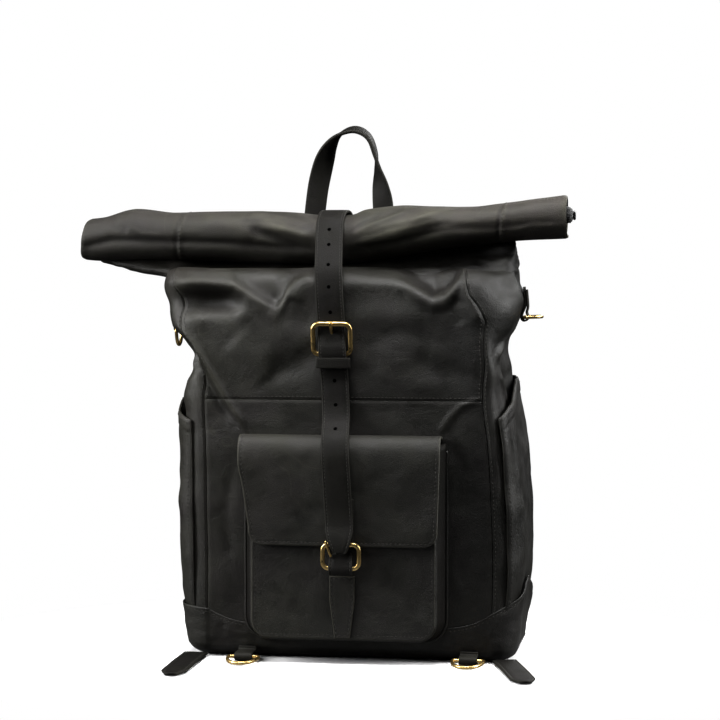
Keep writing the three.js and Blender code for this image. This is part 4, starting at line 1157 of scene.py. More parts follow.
def flap_surface(x, rise):
    """Flap at x and a length up the bend line from its lower edge."""
    run = np.clip(FLAP_RUN[-1] - np.asarray(rise, float), 0, FLAP_RUN[-1])
    y, z = (np.interp(run, FLAP_RUN, FLAP_BEND[:, k]) for k in (0, 1))
    slope_y, slope_z = (np.interp(run, FLAP_RUN, FLAP_TANGENT[:, k]) for k in (0, 1))
    normal = np.stack([0 * y, slope_z, -slope_y], -1)
    normal = unit(np.where(normal[..., 1:2] > 0, -normal, normal))
    normal = np.where((slope_y[..., None] < -0.2) & (normal[..., 2:3] < 0), -normal, normal)
    soft = 0.9 * fbm(x / 60.0, run / 50.0, 8.0, 3) + 0.25 * fbm(x / 18.0, run / 16.0, 2.0, 2)
    soft = add_ridges(soft, x, z, [([(-70, 205), (-60, 180), (-50, 150)], 12, 0.9),
                                   ([(50, 200), (70, 170), (80, 150)], 12, 0.8)])
    soft = soft + 0.9 * smooth(40, 0, np.abs(x - 86)) * smooth(24, 0, np.abs(z - 140))
    soft = np.clip(soft, -1.2, 1.6) * smooth(8, 30, run)
    return np.stack([x + 0 * y, y, z], -1) + normal * soft[..., None], normal


def flap_side(sign, heights, xs):
    """Left (1) or right (-1) edge of the flap, with its rounded lower corner."""
    def edge(rise):
        z = float(np.interp(FLAP_RUN[-1] - rise, FLAP_RUN, FLAP_BEND[:, 1]))
        return float(np.interp(z, heights, xs)) + sign * corner(z, FLAP_BOTTOM, FLAP_CORNER)
    return edge


plate("pocket_flap_leather", 0.0, float(FLAP_RUN[-1]),
      flap_side(1, [122, 141, 180, 205, 240], [-96.5, -96.5, -102, -107, -108]),
      flap_side(-1, [122, 141, 205, 240], [100.5, 100.5, 102.5, 103]),
      flap_surface, 2.7, M_FLAP, body="flap", slot="body_leather", replaces="pocket_flap",
      step=2.0, inset=3.8)


def magnet(name, y, z, radius, thick, body, replaces):
    angle = np.arange(32) / 32 * 2 * np.pi
    rings = [np.stack([2 + radius * share * np.cos(angle), np.full(32, y + thick * depth),
                       z + radius * share * np.sin(angle)], -1)
             for share, depth in ((0.92, 0), (1, 0.15), (1, 0.85), (0.92, 1))]
    loft(name, rings, M_STEEL, body=body, slot="steel", replaces=replaces)


magnet("magnet_on_pocket", POCKET_Y + 2.9, 108, 8, 2.4, "bag", "pocket_magnet")
magnet("magnet_on_flap", POCKET_Y - 1.1, 132.5, 7.4, 0.8, "flap", "flap_magnet")

# ------------------------------------------------------------------ the rolled collar
# x, centre z, half height, half depth
ROLL = np.array([
    [-291, 438, 21.5, 29], [-270, 438.5, 23.5, 33], [-238, 442.5, 27.5, 37],
    [-196, 440.8, 25.5, 39], [-150, 441, 26.3, 40], [-100, 440.6, 27.4, 40],
    [-62, 439, 27.3, 40], [-38, 437.6, 26.6, 40], [-2, 437.6, 26.6, 40], [14, 441.5, 28.3, 40],
    [50, 446.5, 27.2, 40], [85, 448.8, 23.6, 39], [130, 452, 20.5, 37], [175, 456.5, 20.5, 33],
    [224, 461, 22.6, 30]], float)
ROLL_LEFT, ROLL_RIGHT = ROLL[0, 0], ROLL[-1, 0]
ROLL_Y = -18.0
ROLL_POWER = 2 / 2.4        # makes its section a squared-off ellipse
ROLL_CURVE = spline(ROLL, 1.5)
ROLL_TURNS = 2.45
ROLL_START = 286            # degrees: 0 is the back, 90 the top, 180 the front
# stitched joins across the roll: letter, x at the bottom, x at the top
ROLL_JOINS = (("l", -187, -181), ("r", 152, 158))
ROLL_FOLDS = [              # polylines in (x, z)
    # broad folds drawn in towards the strap
    ([(-112, 464), (-70, 448), (-32, 436)], 8, 4.0),
    ([(-110, 452), (-72, 437), (-35, 424)], 5.5, -3.4),
    ([(-70, 465), (-48, 456), (-34, 452)], 5, -2.2),
    ([(2, 436), (48, 446), (98, 466)], 9, 4.0),
    ([(4, 427), (50, 434), (104, 452)], 6, -3.2),
    ([(2, 462), (30, 462), (60, 470)], 6, -1.8),
    ([(100, 448), (150, 449), (220, 456)], 5, -2.0),
    # long folds of the left half
    ([(-290, 430), (-255, 437), (-130, 434), (-45, 426)], 4.6, -3.0, 0.06),
    ([(-288, 419), (-255, 423), (-130, 422), (-60, 416)], 6, 1.8, 0.06),
    ([(-262, 466), (-252, 452), (-236, 446)], 7, -1.8),
    ([(-160, 462), (-120, 452), (-100, 436)], 12, 1.6),
    # fine creases, most of them fanning out from the strap
    ([(-36, 453), (-62, 459), (-104, 463)], 2.2, 1.0),
    ([(-36, 446), (-70, 453), (-118, 457)], 2.4, -1.1),
    ([(-36, 439), (-66, 446), (-98, 449)], 2.2, 0.9),
    ([(-37, 457), (-50, 463), (-70, 468)], 2.0, 0.8),
    ([(2, 441), (30, 456), (62, 469)], 2.3, 1.3),
    ([(3, 436), (40, 448), (92, 459)], 2.4, -1.1),
    ([(2, 446), (18, 458), (34, 467)], 2.0, -0.9),
    ([(4, 431), (52, 440), (110, 452)], 2.4, 1.1),
    ([(60, 452), (84, 462), (104, 470)], 2.4, 0.8),
    ([(-236, 452), (-222, 444), (-200, 442)], 2.4, 0.8),
    ([(170, 446), (190, 452), (216, 452)], 2.6, 0.8)]


def roll_at(x):
    """Centre z, half height and half depth of the roll at x."""
    return [np.interp(x, ROLL[:, 0], ROLL[:, k]) * 0.35
            + np.interp(x, ROLL_CURVE[:, 0], ROLL_CURVE[:, k]) * 0.65 for k in (1, 2, 3)]


def roll_surface(x, turns, inset):
    """Place on the roll after some turns from its start, moved inwards by inset."""
    mid_z, half_z, half_y = roll_at(x)
    angle = np.radians(ROLL_START - 360 * turns)
    y = ROLL_Y + (half_y - inset) * signed_power(np.cos(angle), ROLL_POWER)
    z = mid_z + (half_z - inset) * signed_power(np.sin(angle), ROLL_POWER)
    return np.stack([x + 0 * y, y, z], -1)


def join_x(z, low, high):
    return low + (high - low) * np.clip((z - 415) / 55, 0, 1)


def rolled_collar():
    ends = np.array([0, 0.4, 1.0, 1.8, 3])
    xs = np.unique(np.concatenate([
        ROLL_LEFT + ends, np.linspace(ROLL_LEFT + 4, ROLL_RIGHT - 4, int(236 * DENSITY)),
        ROLL_RIGHT - ends]))
    turns = np.unique(np.concatenate([
        np.array([0, 0.003, 0.008]), np.linspace(0.012, 1.05, int(110 * DENSITY)),
        np.linspace(1.06, ROLL_TURNS, int(90 * DENSITY))]))
    x, turn = np.meshgrid(xs, turns, indexing="ij")
    place = roll_surface(x, turn, 5.6 * smooth(0.62, 1.0, turn) + 5.4 * np.clip(turn - 1, 0, 9))
    normal = grid_normals(place)
    centre = np.stack([x, 0 * x + ROLL_Y, roll_at(x)[0]], -1)
    inward = ((place - centre) * normal).sum(-1, keepdims=True) < 0
    normal = np.where(inward, -normal, normal)
    y, z = place[..., 1], place[..., 2]
    outside = smooth(1.1, 0.9, turn)
    front = smooth(-0.1, 0.5, -normal[..., 1])
    by_strap = np.exp(-((x + 17) / 24.0) ** 4)
    relief = add_ridges(0.0, x, z, ROLL_FOLDS)
    for _, low, high in ROLL_JOINS:
        gap = x - join_x(z, low, high)
        relief = relief - 1.4 * np.exp(-(gap / 1.6) ** 2) + 0.8 * np.exp(-((gap - 4) / 2.5) ** 2)
    soft = (1.2 * fbm(x / 90.0, y / 34.0, z / 30.0, 3)
            + 0.16 * fbm(x / 26.0, y / 14.0, z / 12.0, 2))
    out = ((0.8 * relief * front + 0.8 * soft * (1 - 0.5 * by_strap))
           * outside * (1 - 0.85 * by_strap))
    out = out - 0.35 * by_strap * outside + (1 - outside) * 0.45 * soft
    end_gap = np.minimum(x - ROLL_LEFT, ROLL_RIGHT - x)
    out = out - 0.9 * np.exp(-(end_gap / 1.6) ** 2)
    outer = place + normal * out[..., None]
    # uneven ends
    lean = (3.0 * fbm(turn * 2.2, x * 0 + 3.3, x * 0, 2)
            * (smooth(-255, ROLL_LEFT, x) - smooth(190, ROLL_RIGHT, x)))
    outer[..., 0] += (lean * 0.7 + 3.6 * smooth(-255, ROLL_LEFT, x)
                      * np.clip((z - 425) / 30, -0.3, 1.2))
    worn = 0.35 + 0.65 * smooth(-0.1, 0.5, fbm(x / 24.0, z / 14.0, 4.0, 3))
    edge = np.clip(relief, 0, 4) / 4 * front * outside * worn
    sheet("roll_collar", outer, outer - normal * 2.4, M_ROLL_PAINTED_LIGHTER, edge=np.stack([edge, 0 * edge]),
          **ROLL_BODY, replaces="roll_outer roll_core")
    for letter, low, high in ROLL_JOINS:
        line = np.linspace(0.08, 0.55, 90)
        line_z = roll_surface(np.full(90, (low + high) / 2.0), line, 0 * line)[:, 2]
        line_x = join_x(line_z, low, high) + 3.4
        i = np.argmin(np.abs(xs[:, None] - line_x[None, :]), axis=0)
        j = np.argmin(np.abs(turns[:, None] - line[None, :]), axis=0)
        stitches("roll_join_stitch_" + letter, outer[i, j], normal[i, j], **ROLL_BODY)


rolled_collar()

# left x, right x, front y, back y, z at the left, middle and right, corner power
NECK = [
    (-199, 172, -66, 31, 392, 396, 396, 0.5), (-201, 173, -60, 30, 397, 402, 404, 0.5),
    (-214, 173.5, -54, 26, 399.5, 406, 411, 0.5), (-236, 173.5, -48, 16, 403.5, 410, 417, 0.5),
    (-258, 173, -42, 4, 408.5, 414, 423, 0.55), (-274, 172.5, -36, -4, 413.5, 420, 430, 0.6),
    (-282, 172, -32, -8, 422, 428, 438, 0.7), (-283, 171, -30, -10, 430, 436, 450, 0.8)]


def neck():
    """Collar between the bag's top and the roll, flared where it folds flat."""
    count = int(220 * DENSITY)
    angle = np.arange(count) / count * 2 * np.pi

    def loop(left, right, front, back, z_left, z_mid, z_right, power):
        x = (left + right) / 2 + (right - left) / 2 * signed_power(np.cos(angle), power)
        y = (front + back) / 2 + (back - front) / 2 * signed_power(np.sin(angle), power)
        z = np.interp(x, [left, -150, -10, 100, right],
                      [z_left, 0.45 * z_left + 0.55 * z_mid, z_mid, 0.5 * (z_mid + z_right),
                       z_right])
        return np.stack([x, y, z], -1)

    # the rows are spaced evenly by their middle height
    rows = spline([(row[5], 0, 0) + row for row in NECK], 0.8)
    outer = np.array([loop(*row[3:]) for row in rows])
    wrapped = np.concatenate([outer[:, -1:], outer, outer[:, :1]], 1)
    normal = grid_normals(wrapped)[:, 1:-1]
    outward = outer - np.array([-14, -15, 0.0])
    outward[..., 2] = 0
    normal = np.where((outward * normal).sum(-1, keepdims=True) < 0, -normal, normal)
    soft = 1.3 * fbm(outer[..., 0] / 26.0, outer[..., 1] / 20.0, outer[..., 2] / 9.0, 3)
    outer = outer + normal * soft[..., None]
    outer[..., 1] += (15 * smooth(-196, -150, outer[..., 0]) * smooth(169, 132, outer[..., 0])
                      * smooth(-8, -40, outer[..., 1]))
    inner = outer - normal * 2.2
    obj = loft("collar_neck", np.concatenate([outer, inner[::-1]], 0), M_BODY, closed=True,
               slot="body_leather", replaces="collar_wing_left collar_wing_right")
    blend(obj, "bag", "roll", (0, -20, 401), (0, -20, 420))


neck()


def zip_parts():
    """Zip's end and its slider, at the right end of the roll."""
    angle = np.arange(24) / 24 * 2 * np.pi
    cos, sin = np.cos(angle), np.sin(angle)
    rings = []
    for x, share in ((219, 0.9), (222, 1.0), (225, 1.05), (228.2, 0.98), (230.2, 0.8),
                     (231, 0.55)):
        wavy = 1 + 0.10 * np.sin(angle * 5 + x) + 0.06 * np.sin(angle * 9)
        rings.append(np.stack([np.full(24, x), -20 + 9 * share * wavy * cos,
                               463 + 8 * share * wavy * sin], -1))
    loft("zip_end", rings, M_ZIP, body="roll", slot="lining", replaces="mouth_zip_tape")
    rings = [np.stack([np.full(24, x), -20 + half_y * signed_power(cos, 0.5),
                       462.5 + half_z * signed_power(sin, 0.5)], -1)
             for x, half_y, half_z in ((231.3, 2.4, 4.2), (231.8, 3.0, 4.8), (233.3, 3.0, 4.8),
                                       (234, 2.4, 4.0))]
    nickel = metal("dark_nickel", base=(0.10, 0.10, 0.10), dark=(0.03, 0.03, 0.03))
    loft("zip_slider", rings, nickel, body="roll", slot="brass", replaces="mouth_zip_slider")


zip_parts()

# ------------------------------------------------------------------ closing strap
STRAP_HALF, STRAP_THICK = 14.5, 3.2


def strap_x(z):
    """The strap leans: x of its middle line at height z."""
    return float(2 + (-20 - 2) * np.clip((float(z) - 118) / 336, 0, 1))


def strap_row(y, z, half=STRAP_HALF):
    return [strap_x(z), y, z, half, 1, 0, 0]


def over_roll(degrees):
    angle = math.radians(degrees)
    return strap_row(ROLL_Y + 43 * signed_power(math.cos(angle), ROLL_POWER),
                     437.6 + 29.8 * abs(math.sin(angle)) ** ROLL_POWER)


def strap_holes(prefix, run, heights, body):
    """Punched holes: near-black discs with a pressed rim, painted shade for the shadowed inside of
    each hole, on the strap's front run.
    """
    in_front = np.where(run.place[:, 1] < -30)[0]
    radius = 1.55
    turn = np.arange(20) / 20 * 2 * np.pi
    for k, z in enumerate(heights):
        i = in_front[int(np.argmin(np.abs(run.place[in_front, 2] - z)))]
        normal = run.normal[i] * (1 if run.normal[i][1] < 0 else -1)
        centre = run.place[i] + normal * 1.66
        normal = unit(normal)
        side = unit(np.cross(normal, [0.3, 0.2, 1]))
        up = np.cross(normal, side)
        circle = np.cos(turn)[:, None] * side + np.sin(turn)[:, None] * up
        rings = [centre + radius * share * circle + normal * height
                 for share, height in ((1.30, -0.3), (1.20, 0.26), (1.04, 0.30), (0.92, 0.20),
                                       (0.6, 0.18))]
        loft(f"{prefix}_{k}", rings, M_HOLE_PAINTED_SHADE, body=body, slot="strap_leather")


# (y, z) up the back of the roll
STRAP_REAR = [(37.6, 392), (37.2, 406.5), (34.9, 413), (32.4, 425), (31, 440), (29.8, 447.5),
              (28.0, 452.4), (23.6, 455.6)]
# (y, z) down the front, from the roll to the buckle
STRAP_FRONT = [(-60, 449.5), (-68.5, 436), (-78.5, 418), (-85.4, 403), (-88.6, 386),
               (-89.2, 370), (-89.0, 358), (-89.6, 345), (-91.8, 333.5), (-93.8, 325.5),
               (-94, 318.5), (-92.7, 312), (-91.8, 308.5)]
# (y, z) below the buckle, then y, z, half width of the tapered tip
STRAP_TAIL = [(-91.9, 309.6), (-91.2, 305.5), (-89.8, 297.5), (-89.6, 290), (-90.8, 280),
              (-93, 264), (-97.6, 251), (-106, 240.4), (-113.6, 231), (-118.4, 217),
              (-119.4, 200), (-119.7, 185), (-119.8, 160), (-121, 146), (-122.4, 140, 14.4),
              (-124.2, 134, 13.2), (-125.8, 127, 11.2), (-126.5, 121, 8.8), (-126.6, 117, 6.6)]


def closing_strap():
    rows = x_rows([(-20, y, z) for y, z in STRAP_REAR], STRAP_HALF)
    rows += [over_roll(degrees) for degrees in (40, 52, 62)]
    obj, _ = band("closing_strap_back_run", rows, STRAP_THICK, step=1.6, **LOOSE_STRAP,
                  replaces="closure_strap_rear")
    blend(obj, "bag", "closing_strap", (-20, 27, 448), (-20, 8, 462))

    rows = [over_roll(degrees) for degrees in (62, 74, 88, 104, 118, 132, 146)]
    rows += [strap_row(*place) for place in STRAP_FRONT]
    _, run = band("closing_strap_main", rows, STRAP_THICK, step=1.3, **CLOSING_STRAP,
                  replaces="closure_strap")
    edge_stitches("closing_strap_main_stitch", run, towards(run, 1, -1), 2.7, **CLOSING_STRAP,
                  **SMALL_STITCH)
    strap_holes("strap_hole", run, (446.8, 431.8, 411.3, 388.3, 362.5), "closing_strap")

    obj, run = band("closing_strap_tail", [strap_row(*place) for place in STRAP_TAIL],
                    STRAP_THICK, step=1.4, **LOOSE_STRAP, replaces="closure_strap_tail")
    swap = ("closing_strap", "strap_end", (0, -91, 301), (0, -91, 291))
    blend(obj, *swap)
    for row in edge_stitches("closing_strap_tail_stitch", run, towards(run, 1, -1), 2.7,
                             **LOOSE_STRAP, **SMALL_STITCH):
        blend(row, *swap)
    strap_holes("tail_hole", run, (292, 266.5, 242), "strap_end")


closing_strap()


def keeper():
    """Closed leather loop round both layers of the strap."""
    middle = round_corners(strap_x(311.5), -92.6, 14.6, 1.4, 2.6, 4)
    outward = unit(middle - middle.mean(0))
    # height, how far out from the middle line
    outer = [(z, 0.75 - inset) for z, inset in (
        (304.5, 0.9), (304.7, 0.3), (305.3, 0.0), (307.4, -0.12), (310, 0.0), (312.6, -0.12),
        (314.8, 0.0), (315.3, 0.3), (315.5, 0.9))]
    rings = []
    for z, out in outer + [(315.5, -0.75), (304.5, -0.75)]:
        ring = middle + outward * out
        rings.append(np.stack([ring[:, 0], ring[:, 1], np.full(len(ring), z)], -1))
    loft("keeper_loop", rings, M_STRAP, closed=True, **CLOSING_STRAP, replaces="strap_keeper")


keeper()


def frame_loop(cx, cz, width, height, radius, y):
    """Rounded rectangle in the x-z plane, in steps of about 1.6 mm."""
    corners = round_corners(cx, cz, width / 2 - radius, height / 2 - radius, radius, 8)
    corners = np.stack([corners[:, 0], np.full(len(corners), y), corners[:, 1]], -1)
    points = []
    for here, there in zip(corners, np.roll(corners, -1, 0)):
        count = max(1, int(np.linalg.norm(there - here) / 1.6))
        points += [here + (there - here) * k / count for k in range(count)]
    return np.array(points)


def prong(name, places, radius, normal=(0, 1, 0), **tags):
    tube(name, places, radius, M_BRASS, closed=False, step=0.8, sides=12, normal=normal, **tags)


def front_buckle():
    mid_z = 334.5
    mid_x = strap_x(mid_z)
    tip = math.radians(8.5)
    cos, sin = math.cos(tip), math.sin(tip)
    x, y, z = frame_loop(0, 0, 39, 32, 6.5, 0).T
    ring = np.stack([x + mid_x, y * cos - z * sin - 92.2, y * sin + z * cos + mid_z], -1)
    tube("front_buckle_ring", ring, 2.4, M_BRASS, square=0.25, sides=18, normal=(0, cos, sin),
         **CLOSING_BRASS, replaces="front_buckle_frame")
    line = ((-88, 322.4), (-87.9, 327.5), (-88, 333), (-88.8, 337.5), (-91.4, 341.5),
            (-95.2, 345), (-98.2, 348), (-99.2, 350.6), (-98.9, 352.6))
    prong("front_buckle_prong", [[mid_x, y, z] for y, z in line], 1.8, **CLOSING_BRASS,
          replaces="front_buckle_tongue")
    holder = [(mid_x, y, z) for y, z in ((-86.6, 299), (-86.5, 310), (-86.5, 320.4))]
    band("front_buckle_holder", x_rows(holder, 14), 1.8, step=1.5, **CLOSING_STRAP,
         replaces="front_buckle_chape")


front_buckle()


def pocket_buckle():
    """Second buckle, on the flap."""
    mid_x = 1.8
    tube("pocket_buckle_ring", frame_loop(mid_x, 113.2, 37.6, 24.6, 6.5, -120.2), 2.3, M_BRASS,
         square=0.25, sides=18, normal=(0, 1, 0), **FLAP_BRASS, replaces="pocket_buckle_frame")
    prong("pocket_buckle_prong", [[-13.5, -123.6, 129], [-12, -123.7, 124.5],
                                  [-10.2, -123.1, 119], [-8.2, -122.4, 113.2]],
          1.15, normal=(1, 0, 0), **FLAP_BRASS, replaces="pocket_buckle_tongue")
    # y, z, half width
    tab = ((-117.0, 172, 12.5), (-117.0, 132, 12.5), (-117.2, 122, 12.2), (-118.4, 115, 12.2),
           (-122.4, 107, 12.2), (-124, 100, 12.4), (-122.6, 94.8, 12.4))
    thick = 2.2
    _, run = band("pocket_buckle_tab_leather",
                  [[mid_x, y, z, half, 1, 0, 0] for y, z, half in tab], thick, step=1.3,
                  **FLAP_STRAP, replaces="pocket_buckle_tab")
    edge_stitches("pocket_buckle_tab_stitch", run, towards(run, 1, -1), 2.4, thick=thick,
                  pitch=3.4, length=2.6, radius=0.32, **FLAP_STRAP)


pocket_buckle()

# ------------------------------------------------------------------ back: yoke and handle
panel("back_yoke_leather", "back", -0.62, 0.55, 345, 404, "back_yoke", inset=-3.3, step=2.2,
      fold=False, stitch=("u0", "u1", "z0"), stitch_inset=4.0,
      extra=lambda along, z, place: 0.5 * fbm(place[..., 0] / 40.0, 1.0, place[..., 2] / 30.0, 3))
for side, patch_x in (("left", -56), ("right", 22)):
    back_mid, back_half = -14.5, 144.0
    panel("handle_patch_" + side, "back", (patch_x - 12 - back_mid) / back_half,
          (patch_x + 12 - back_mid) / back_half, 372, 403, "handle_anchor_" + side, mat=M_STRAP,
          thick=2.5, inset=-6.4, step=1.6, fold=False, slot="strap_leather",
          stitch=("u0", "u1", "z0"), stitch_inset=3.0)

# x, y, z, turn of the strap in quarter turns, lean of its width along z
HANDLE = [
    (-56, 43, 398, 0, 0), (-56, 43.4, 405.5, 0, 0), (-56, 44.5, 425, 0, 0),
    (-55.5, 47, 450, 0, 0), (-54, 48.8, 470, 0.02, 0), (-51.5, 50.4, 492, 0.06, 0),
    (-48.5, 51.4, 508, 0.16, 0), (-44, 52, 525, 0.38, 0.02), (-38, 52.6, 539.5, 0.66, 0.08),
    (-30, 53, 550.5, 0.88, 0.18), (-20, 53.3, 556.4, 0.98, 0.26), (-10, 53.4, 557.8, 1, 0.28),
    (0, 53.3, 553.6, 1, 0.24), (7, 53, 545, 1, 0.14), (11.8, 52.5, 530, 1.03, 0.05),
    (14.5, 51.8, 514, 1.24, 0), (17.6, 50.8, 496, 1.6, 0), (20.6, 49.2, 476, 1.9, 0),
    (22, 47, 450, 2, 0), (22, 44.5, 425, 2, 0), (22, 43.4, 405.5, 2, 0), (22, 43, 398, 2, 0)]


def carry_handle():
    half, thick = 11.5, 4.0
    rows = [[x, y, z, half, math.cos(turn * math.pi / 2), math.sin(turn * math.pi / 2), lean]
            for x, y, z, turn, lean in HANDLE]
    obj, run = band("carry_handle_strap", rows, thick, step=1.6, **LOOSE_STRAP,
                    replaces="carry_handle")
    swap = ("bag", "handle", (-17, 43, 400), (-17, 43, 412))
    blend(obj, *swap)
    for sign, letter in ((1, "p"), (-1, "m")):
        for row in edge_stitches("carry_handle_stitch" + letter, run, sign, 2.6, thick=thick,
                                 skip=8, pitch=3.8, length=2.8, radius=0.32, **LOOSE_STRAP):
            blend(row, *swap)


carry_handle()


# ------------------------------------------------------------------ rings and their loops
def d_ring(name, centre, across, out, width, height, radius, replaces, body):
    """D-shaped wire with its straight side through centre."""
    centre, across, out = np.asarray(centre, float), unit(across), unit(out)
    flat = [((i / 2) * (width / 2 - 2), 0) for i in range(-2, 3)]
    bow = [((width / 2) * math.cos(k / 10 * math.pi),
            max(2.4, 2.4 + (height - 2.4) * math.sin(k / 10 * math.pi))) for k in range(11)]
    points = [centre + across * a + out * b for a, b in flat + bow]
    tube(name, points, radius, M_BRASS, square=0.1, step=0.9, sides=16,
         normal=np.cross(across, out), body=body, slot="brass", replaces=replaces)


def side_ring(side, sign, z, hang):
    """Ring on a side wall and the folded loop that holds it."""
    y = -12

    def wall_x(height, out):
        return float(wall_at(side, 0.45, height, -out)[0])

    ring_x = wall_x(z, 6.4)
    d_ring("side_ring_brass_" + side, (ring_x, y, z), (0, 1, 0), hang, 25, 18, 1.8,
           "side_ring_" + side, "side_ring_" + side[0])
    path = [(wall_x(z + up, out), z + up) for up, out in ((32, 2.6), (14, 2.2), (4, 2.0))]
    path += [(ring_x + sign * out, z + up)
             for out, up in ((-3.4, -0.6), (-1.8, -3.2), (0.6, -3.7), (2.9, -2), (3.5, 1),
                             (2.2, 5.5))]
    path += [(wall_x(z + up, out), z + up) for up, out in ((12, 5.2), (29, 4.6))]
    band("side_ring_holder_" + side, [[x, y, height, 8, 0, 1, 0] for x, height in path], 1.8,
         step=0.9, crease=False, **BAG_STRAP, replaces="side_ring_loop_" + side)


side_ring("left", -1, 343, hang=(0, 0, -1))
side_ring("right", 1, 356, hang=(0.9994, 0, 0.0349))


def base_ring(side, x, reach):
    """Ring at the front foot; reach is how much further forward it sits."""
    d_ring("base_ring_brass_" + side, (x, -93 - reach, 4.6), (1, 0, 0), (0, -0.9962, -0.0872),
           32, 27, 1.9, "base_ring_" + side, "base_ring_" + side[0])
    path = [(-84.6, 12.5), (-85.2, 9.5), (-88.6, 8.2), (-93.4 - reach, 8.3),
            (-96.6 - reach, 6.6), (-97 - reach, 3.8), (-95.4 - reach, 1.6), (-92 - reach, 1.1),
            (-86.5, 1.1), (-81.5, 1.1)]
    band("base_ring_holder_" + side, x_rows([(x, y, z) for y, z in path], 9.5), 1.5, step=0.9,
         crease=False, **BAG_STRAP, replaces="base_ring_loop_" + side)


base_ring("left", -103, 11)
base_ring("right", 130, 0)


# ------------------------------------------------------------------ loose ends on the floor
def floor_strap(side, start, end):
    """Strap end lying on the floor from start to end (x, y), with a tapered tip."""
    start, end = np.array(start, float), np.array(end, float)
    thick, tip = 3.0, 16
    forward = unit(end - start)
    length = float(np.linalg.norm(end - start))
    runs = np.concatenate([np.linspace(0, length - tip, 60),
                           length - tip + np.array([2, 4, 6, 8, 10, 12, 14, 15.2, 16])])
    halves = np.interp(runs, [0, length - tip, length], [13, 13, 6])
    rows = []
    for run, half in zip(runs, halves):
        x, y = start + forward * run
        lift = 0.7 * math.sin(math.pi * min(1, run / length)) + 0.4
        rows.append([x, y, 1.7 + lift, half, -forward[1], forward[0], 0])
    tags = dict(body="corner_tab_" + side[0], slot="strap_leather")
    _, run = band("floor_strap_end_" + side, rows, thick, step=1.5, **tags,
                  replaces="corner_tab_" + side)
    edge_stitches("floor_strap_stitch_" + side, run, towards(run, 2, 1), 2.8, thick=thick,
                  skip=5, **tags, **STRAP_STITCH)


floor_strap("left", (-160, -78.5), (-158, -200))
floor_strap("right", (166, -74.5), (197, -189))

# ------------------------------------------------------------------ shoulder straps
# y, z, half width, thickness down the pad
SHOULDER_PAD = [
    (68, 361, 12.5, 5), (75, 352, 15, 6), (86, 335, 21, 8), (95, 312, 26, 9), (101, 285, 29, 9),
    (103.6, 258, 29, 9), (103.4, 232, 26, 8), (102.2, 214, 21, 6.4), (99, 204, 16, 4),
    (95.6, 196, 13, 2.4), (94, 190, 12.5, 2.2), (93.4, 184, 12.5, 2.2), (93.6, 179, 12.5, 2.2)]
# (y, z) up the lower strap
SHOULDER_RUN = [(92.4, 52), (94.6, 70), (95.6, 92), (96, 118), (95.2, 138), (94.1, 150),
                (93.1, 157), (93.6, 163), (97, 172), (100.6, 181), (101.3, 187), (104, 196),
                (108.4, 205), (111, 216), (112, 234)]
SHOULDER_PRONG = [(96.4, 180.4), (96.7, 175), (97.6, 170), (99.4, 165), (100.7, 160.5),
                  (100.6, 156.4)]
SHOULDER_TOP_Z, SHOULDER_FOOT_Z = 362.0, 48.0


def shoulder_strap(side, sign):
    top_x, foot_x = -19 + 48 * sign, -3 + 128 * sign
    tags = dict(body="shoulder_" + side[0], slot="strap_leather")
    brass = dict(body="shoulder_" + side[0], slot="brass")

    def strap_mid(z):
        down = (SHOULDER_TOP_Z - z) / (SHOULDER_TOP_Z - SHOULDER_FOOT_Z)
        bow = 7 * math.sin(math.pi * min(1, max(0, down)))
        return top_x + (foot_x - top_x) * down - sign * bow

    rows = spline([[strap_mid(z), y, z, half, thick] for y, z, half, thick in SHOULDER_PAD], 2.0)
    place, half, thick = rows[:, :3], rows[:, 3], rows[:, 4]
    across, normal = frames_of(place, np.tile([1.0, 0, 0], (len(place), 1)))
    normal = normal * (1 if normal[len(normal) // 2][1] > 0 else -1)
    share = np.linspace(-1, 1, 15)
    back = share[::-1]
    rings = []
    for k in range(len(place)):
        rise = (thick[k] / 2 * (1 - 0.55 * np.abs(share) ** 5)
                - 0.8 * np.exp(-((np.abs(share) - 0.82) / 0.05) ** 2) * min(1, thick[k] / 5))
        drop = thick[k] / 2 * (1 - 0.4 * np.abs(back) ** 5)
        upper = place[k] + (share * half[k])[:, None] * across[k] + rise[:, None] * normal[k]
        lower = place[k] + (back * half[k])[:, None] * across[k] - drop[:, None] * normal[k]
        rings.append(np.vstack([upper, lower]))
    loft("shoulder_pad_leather_" + side, rings, M_STRAP, **tags, replaces="shoulder_pad_" + side)
    for edge, letter in ((-1, "a"), (1, "b")):
        line = (place + across * (half * 0.82 * edge)[:, None]
                + normal * (thick / 2 * 0.80 - 0.3)[:, None])
        stitches(f"shoulder_pad_stitch_{side}_{letter}", line[4:-4], normal[4:-4], **tags,
                 **STRAP_STITCH)

    low = x_rows([(strap_mid(z), y, z) for y, z in SHOULDER_RUN], 12)
    _, run = band("shoulder_strap_run_" + side, low, 3.0, step=1.6, **tags,
                  replaces="shoulder_strap_lower_" + side)
    edge_stitches("shoulder_run_stitch_" + side, run, towards(run, 1, 1), 2.6, thick=3.0,
                  **tags, **STRAP_STITCH)

    buckle_z = 172
    buckle_x = strap_mid(buckle_z)
    tube("shoulder_buckle_ring_" + side, frame_loop(buckle_x, buckle_z, 34, 24, 5, 97), 1.75,
         M_BRASS, square=0.25, sides=16, normal=(0, 1, 0), **brass,
         replaces="shoulder_buckle_frame_" + side)
    prong("shoulder_buckle_prong_" + side, [[buckle_x, y, z] for y, z in SHOULDER_PRONG], 1.2,
          **brass, replaces="shoulder_buckle_tongue_" + side)
    anchor = [(foot_x, y, z) for y, z in ((85.2, 20), (85.6, 32), (86.2, 45.5))]
    band("shoulder_anchor_leather_" + side, x_rows(anchor, 13), 2.4, step=1.5, **BAG_STRAP,
         replaces="shoulder_anchor_" + side)


shoulder_strap("left", -1)
shoulder_strap("right", 1)


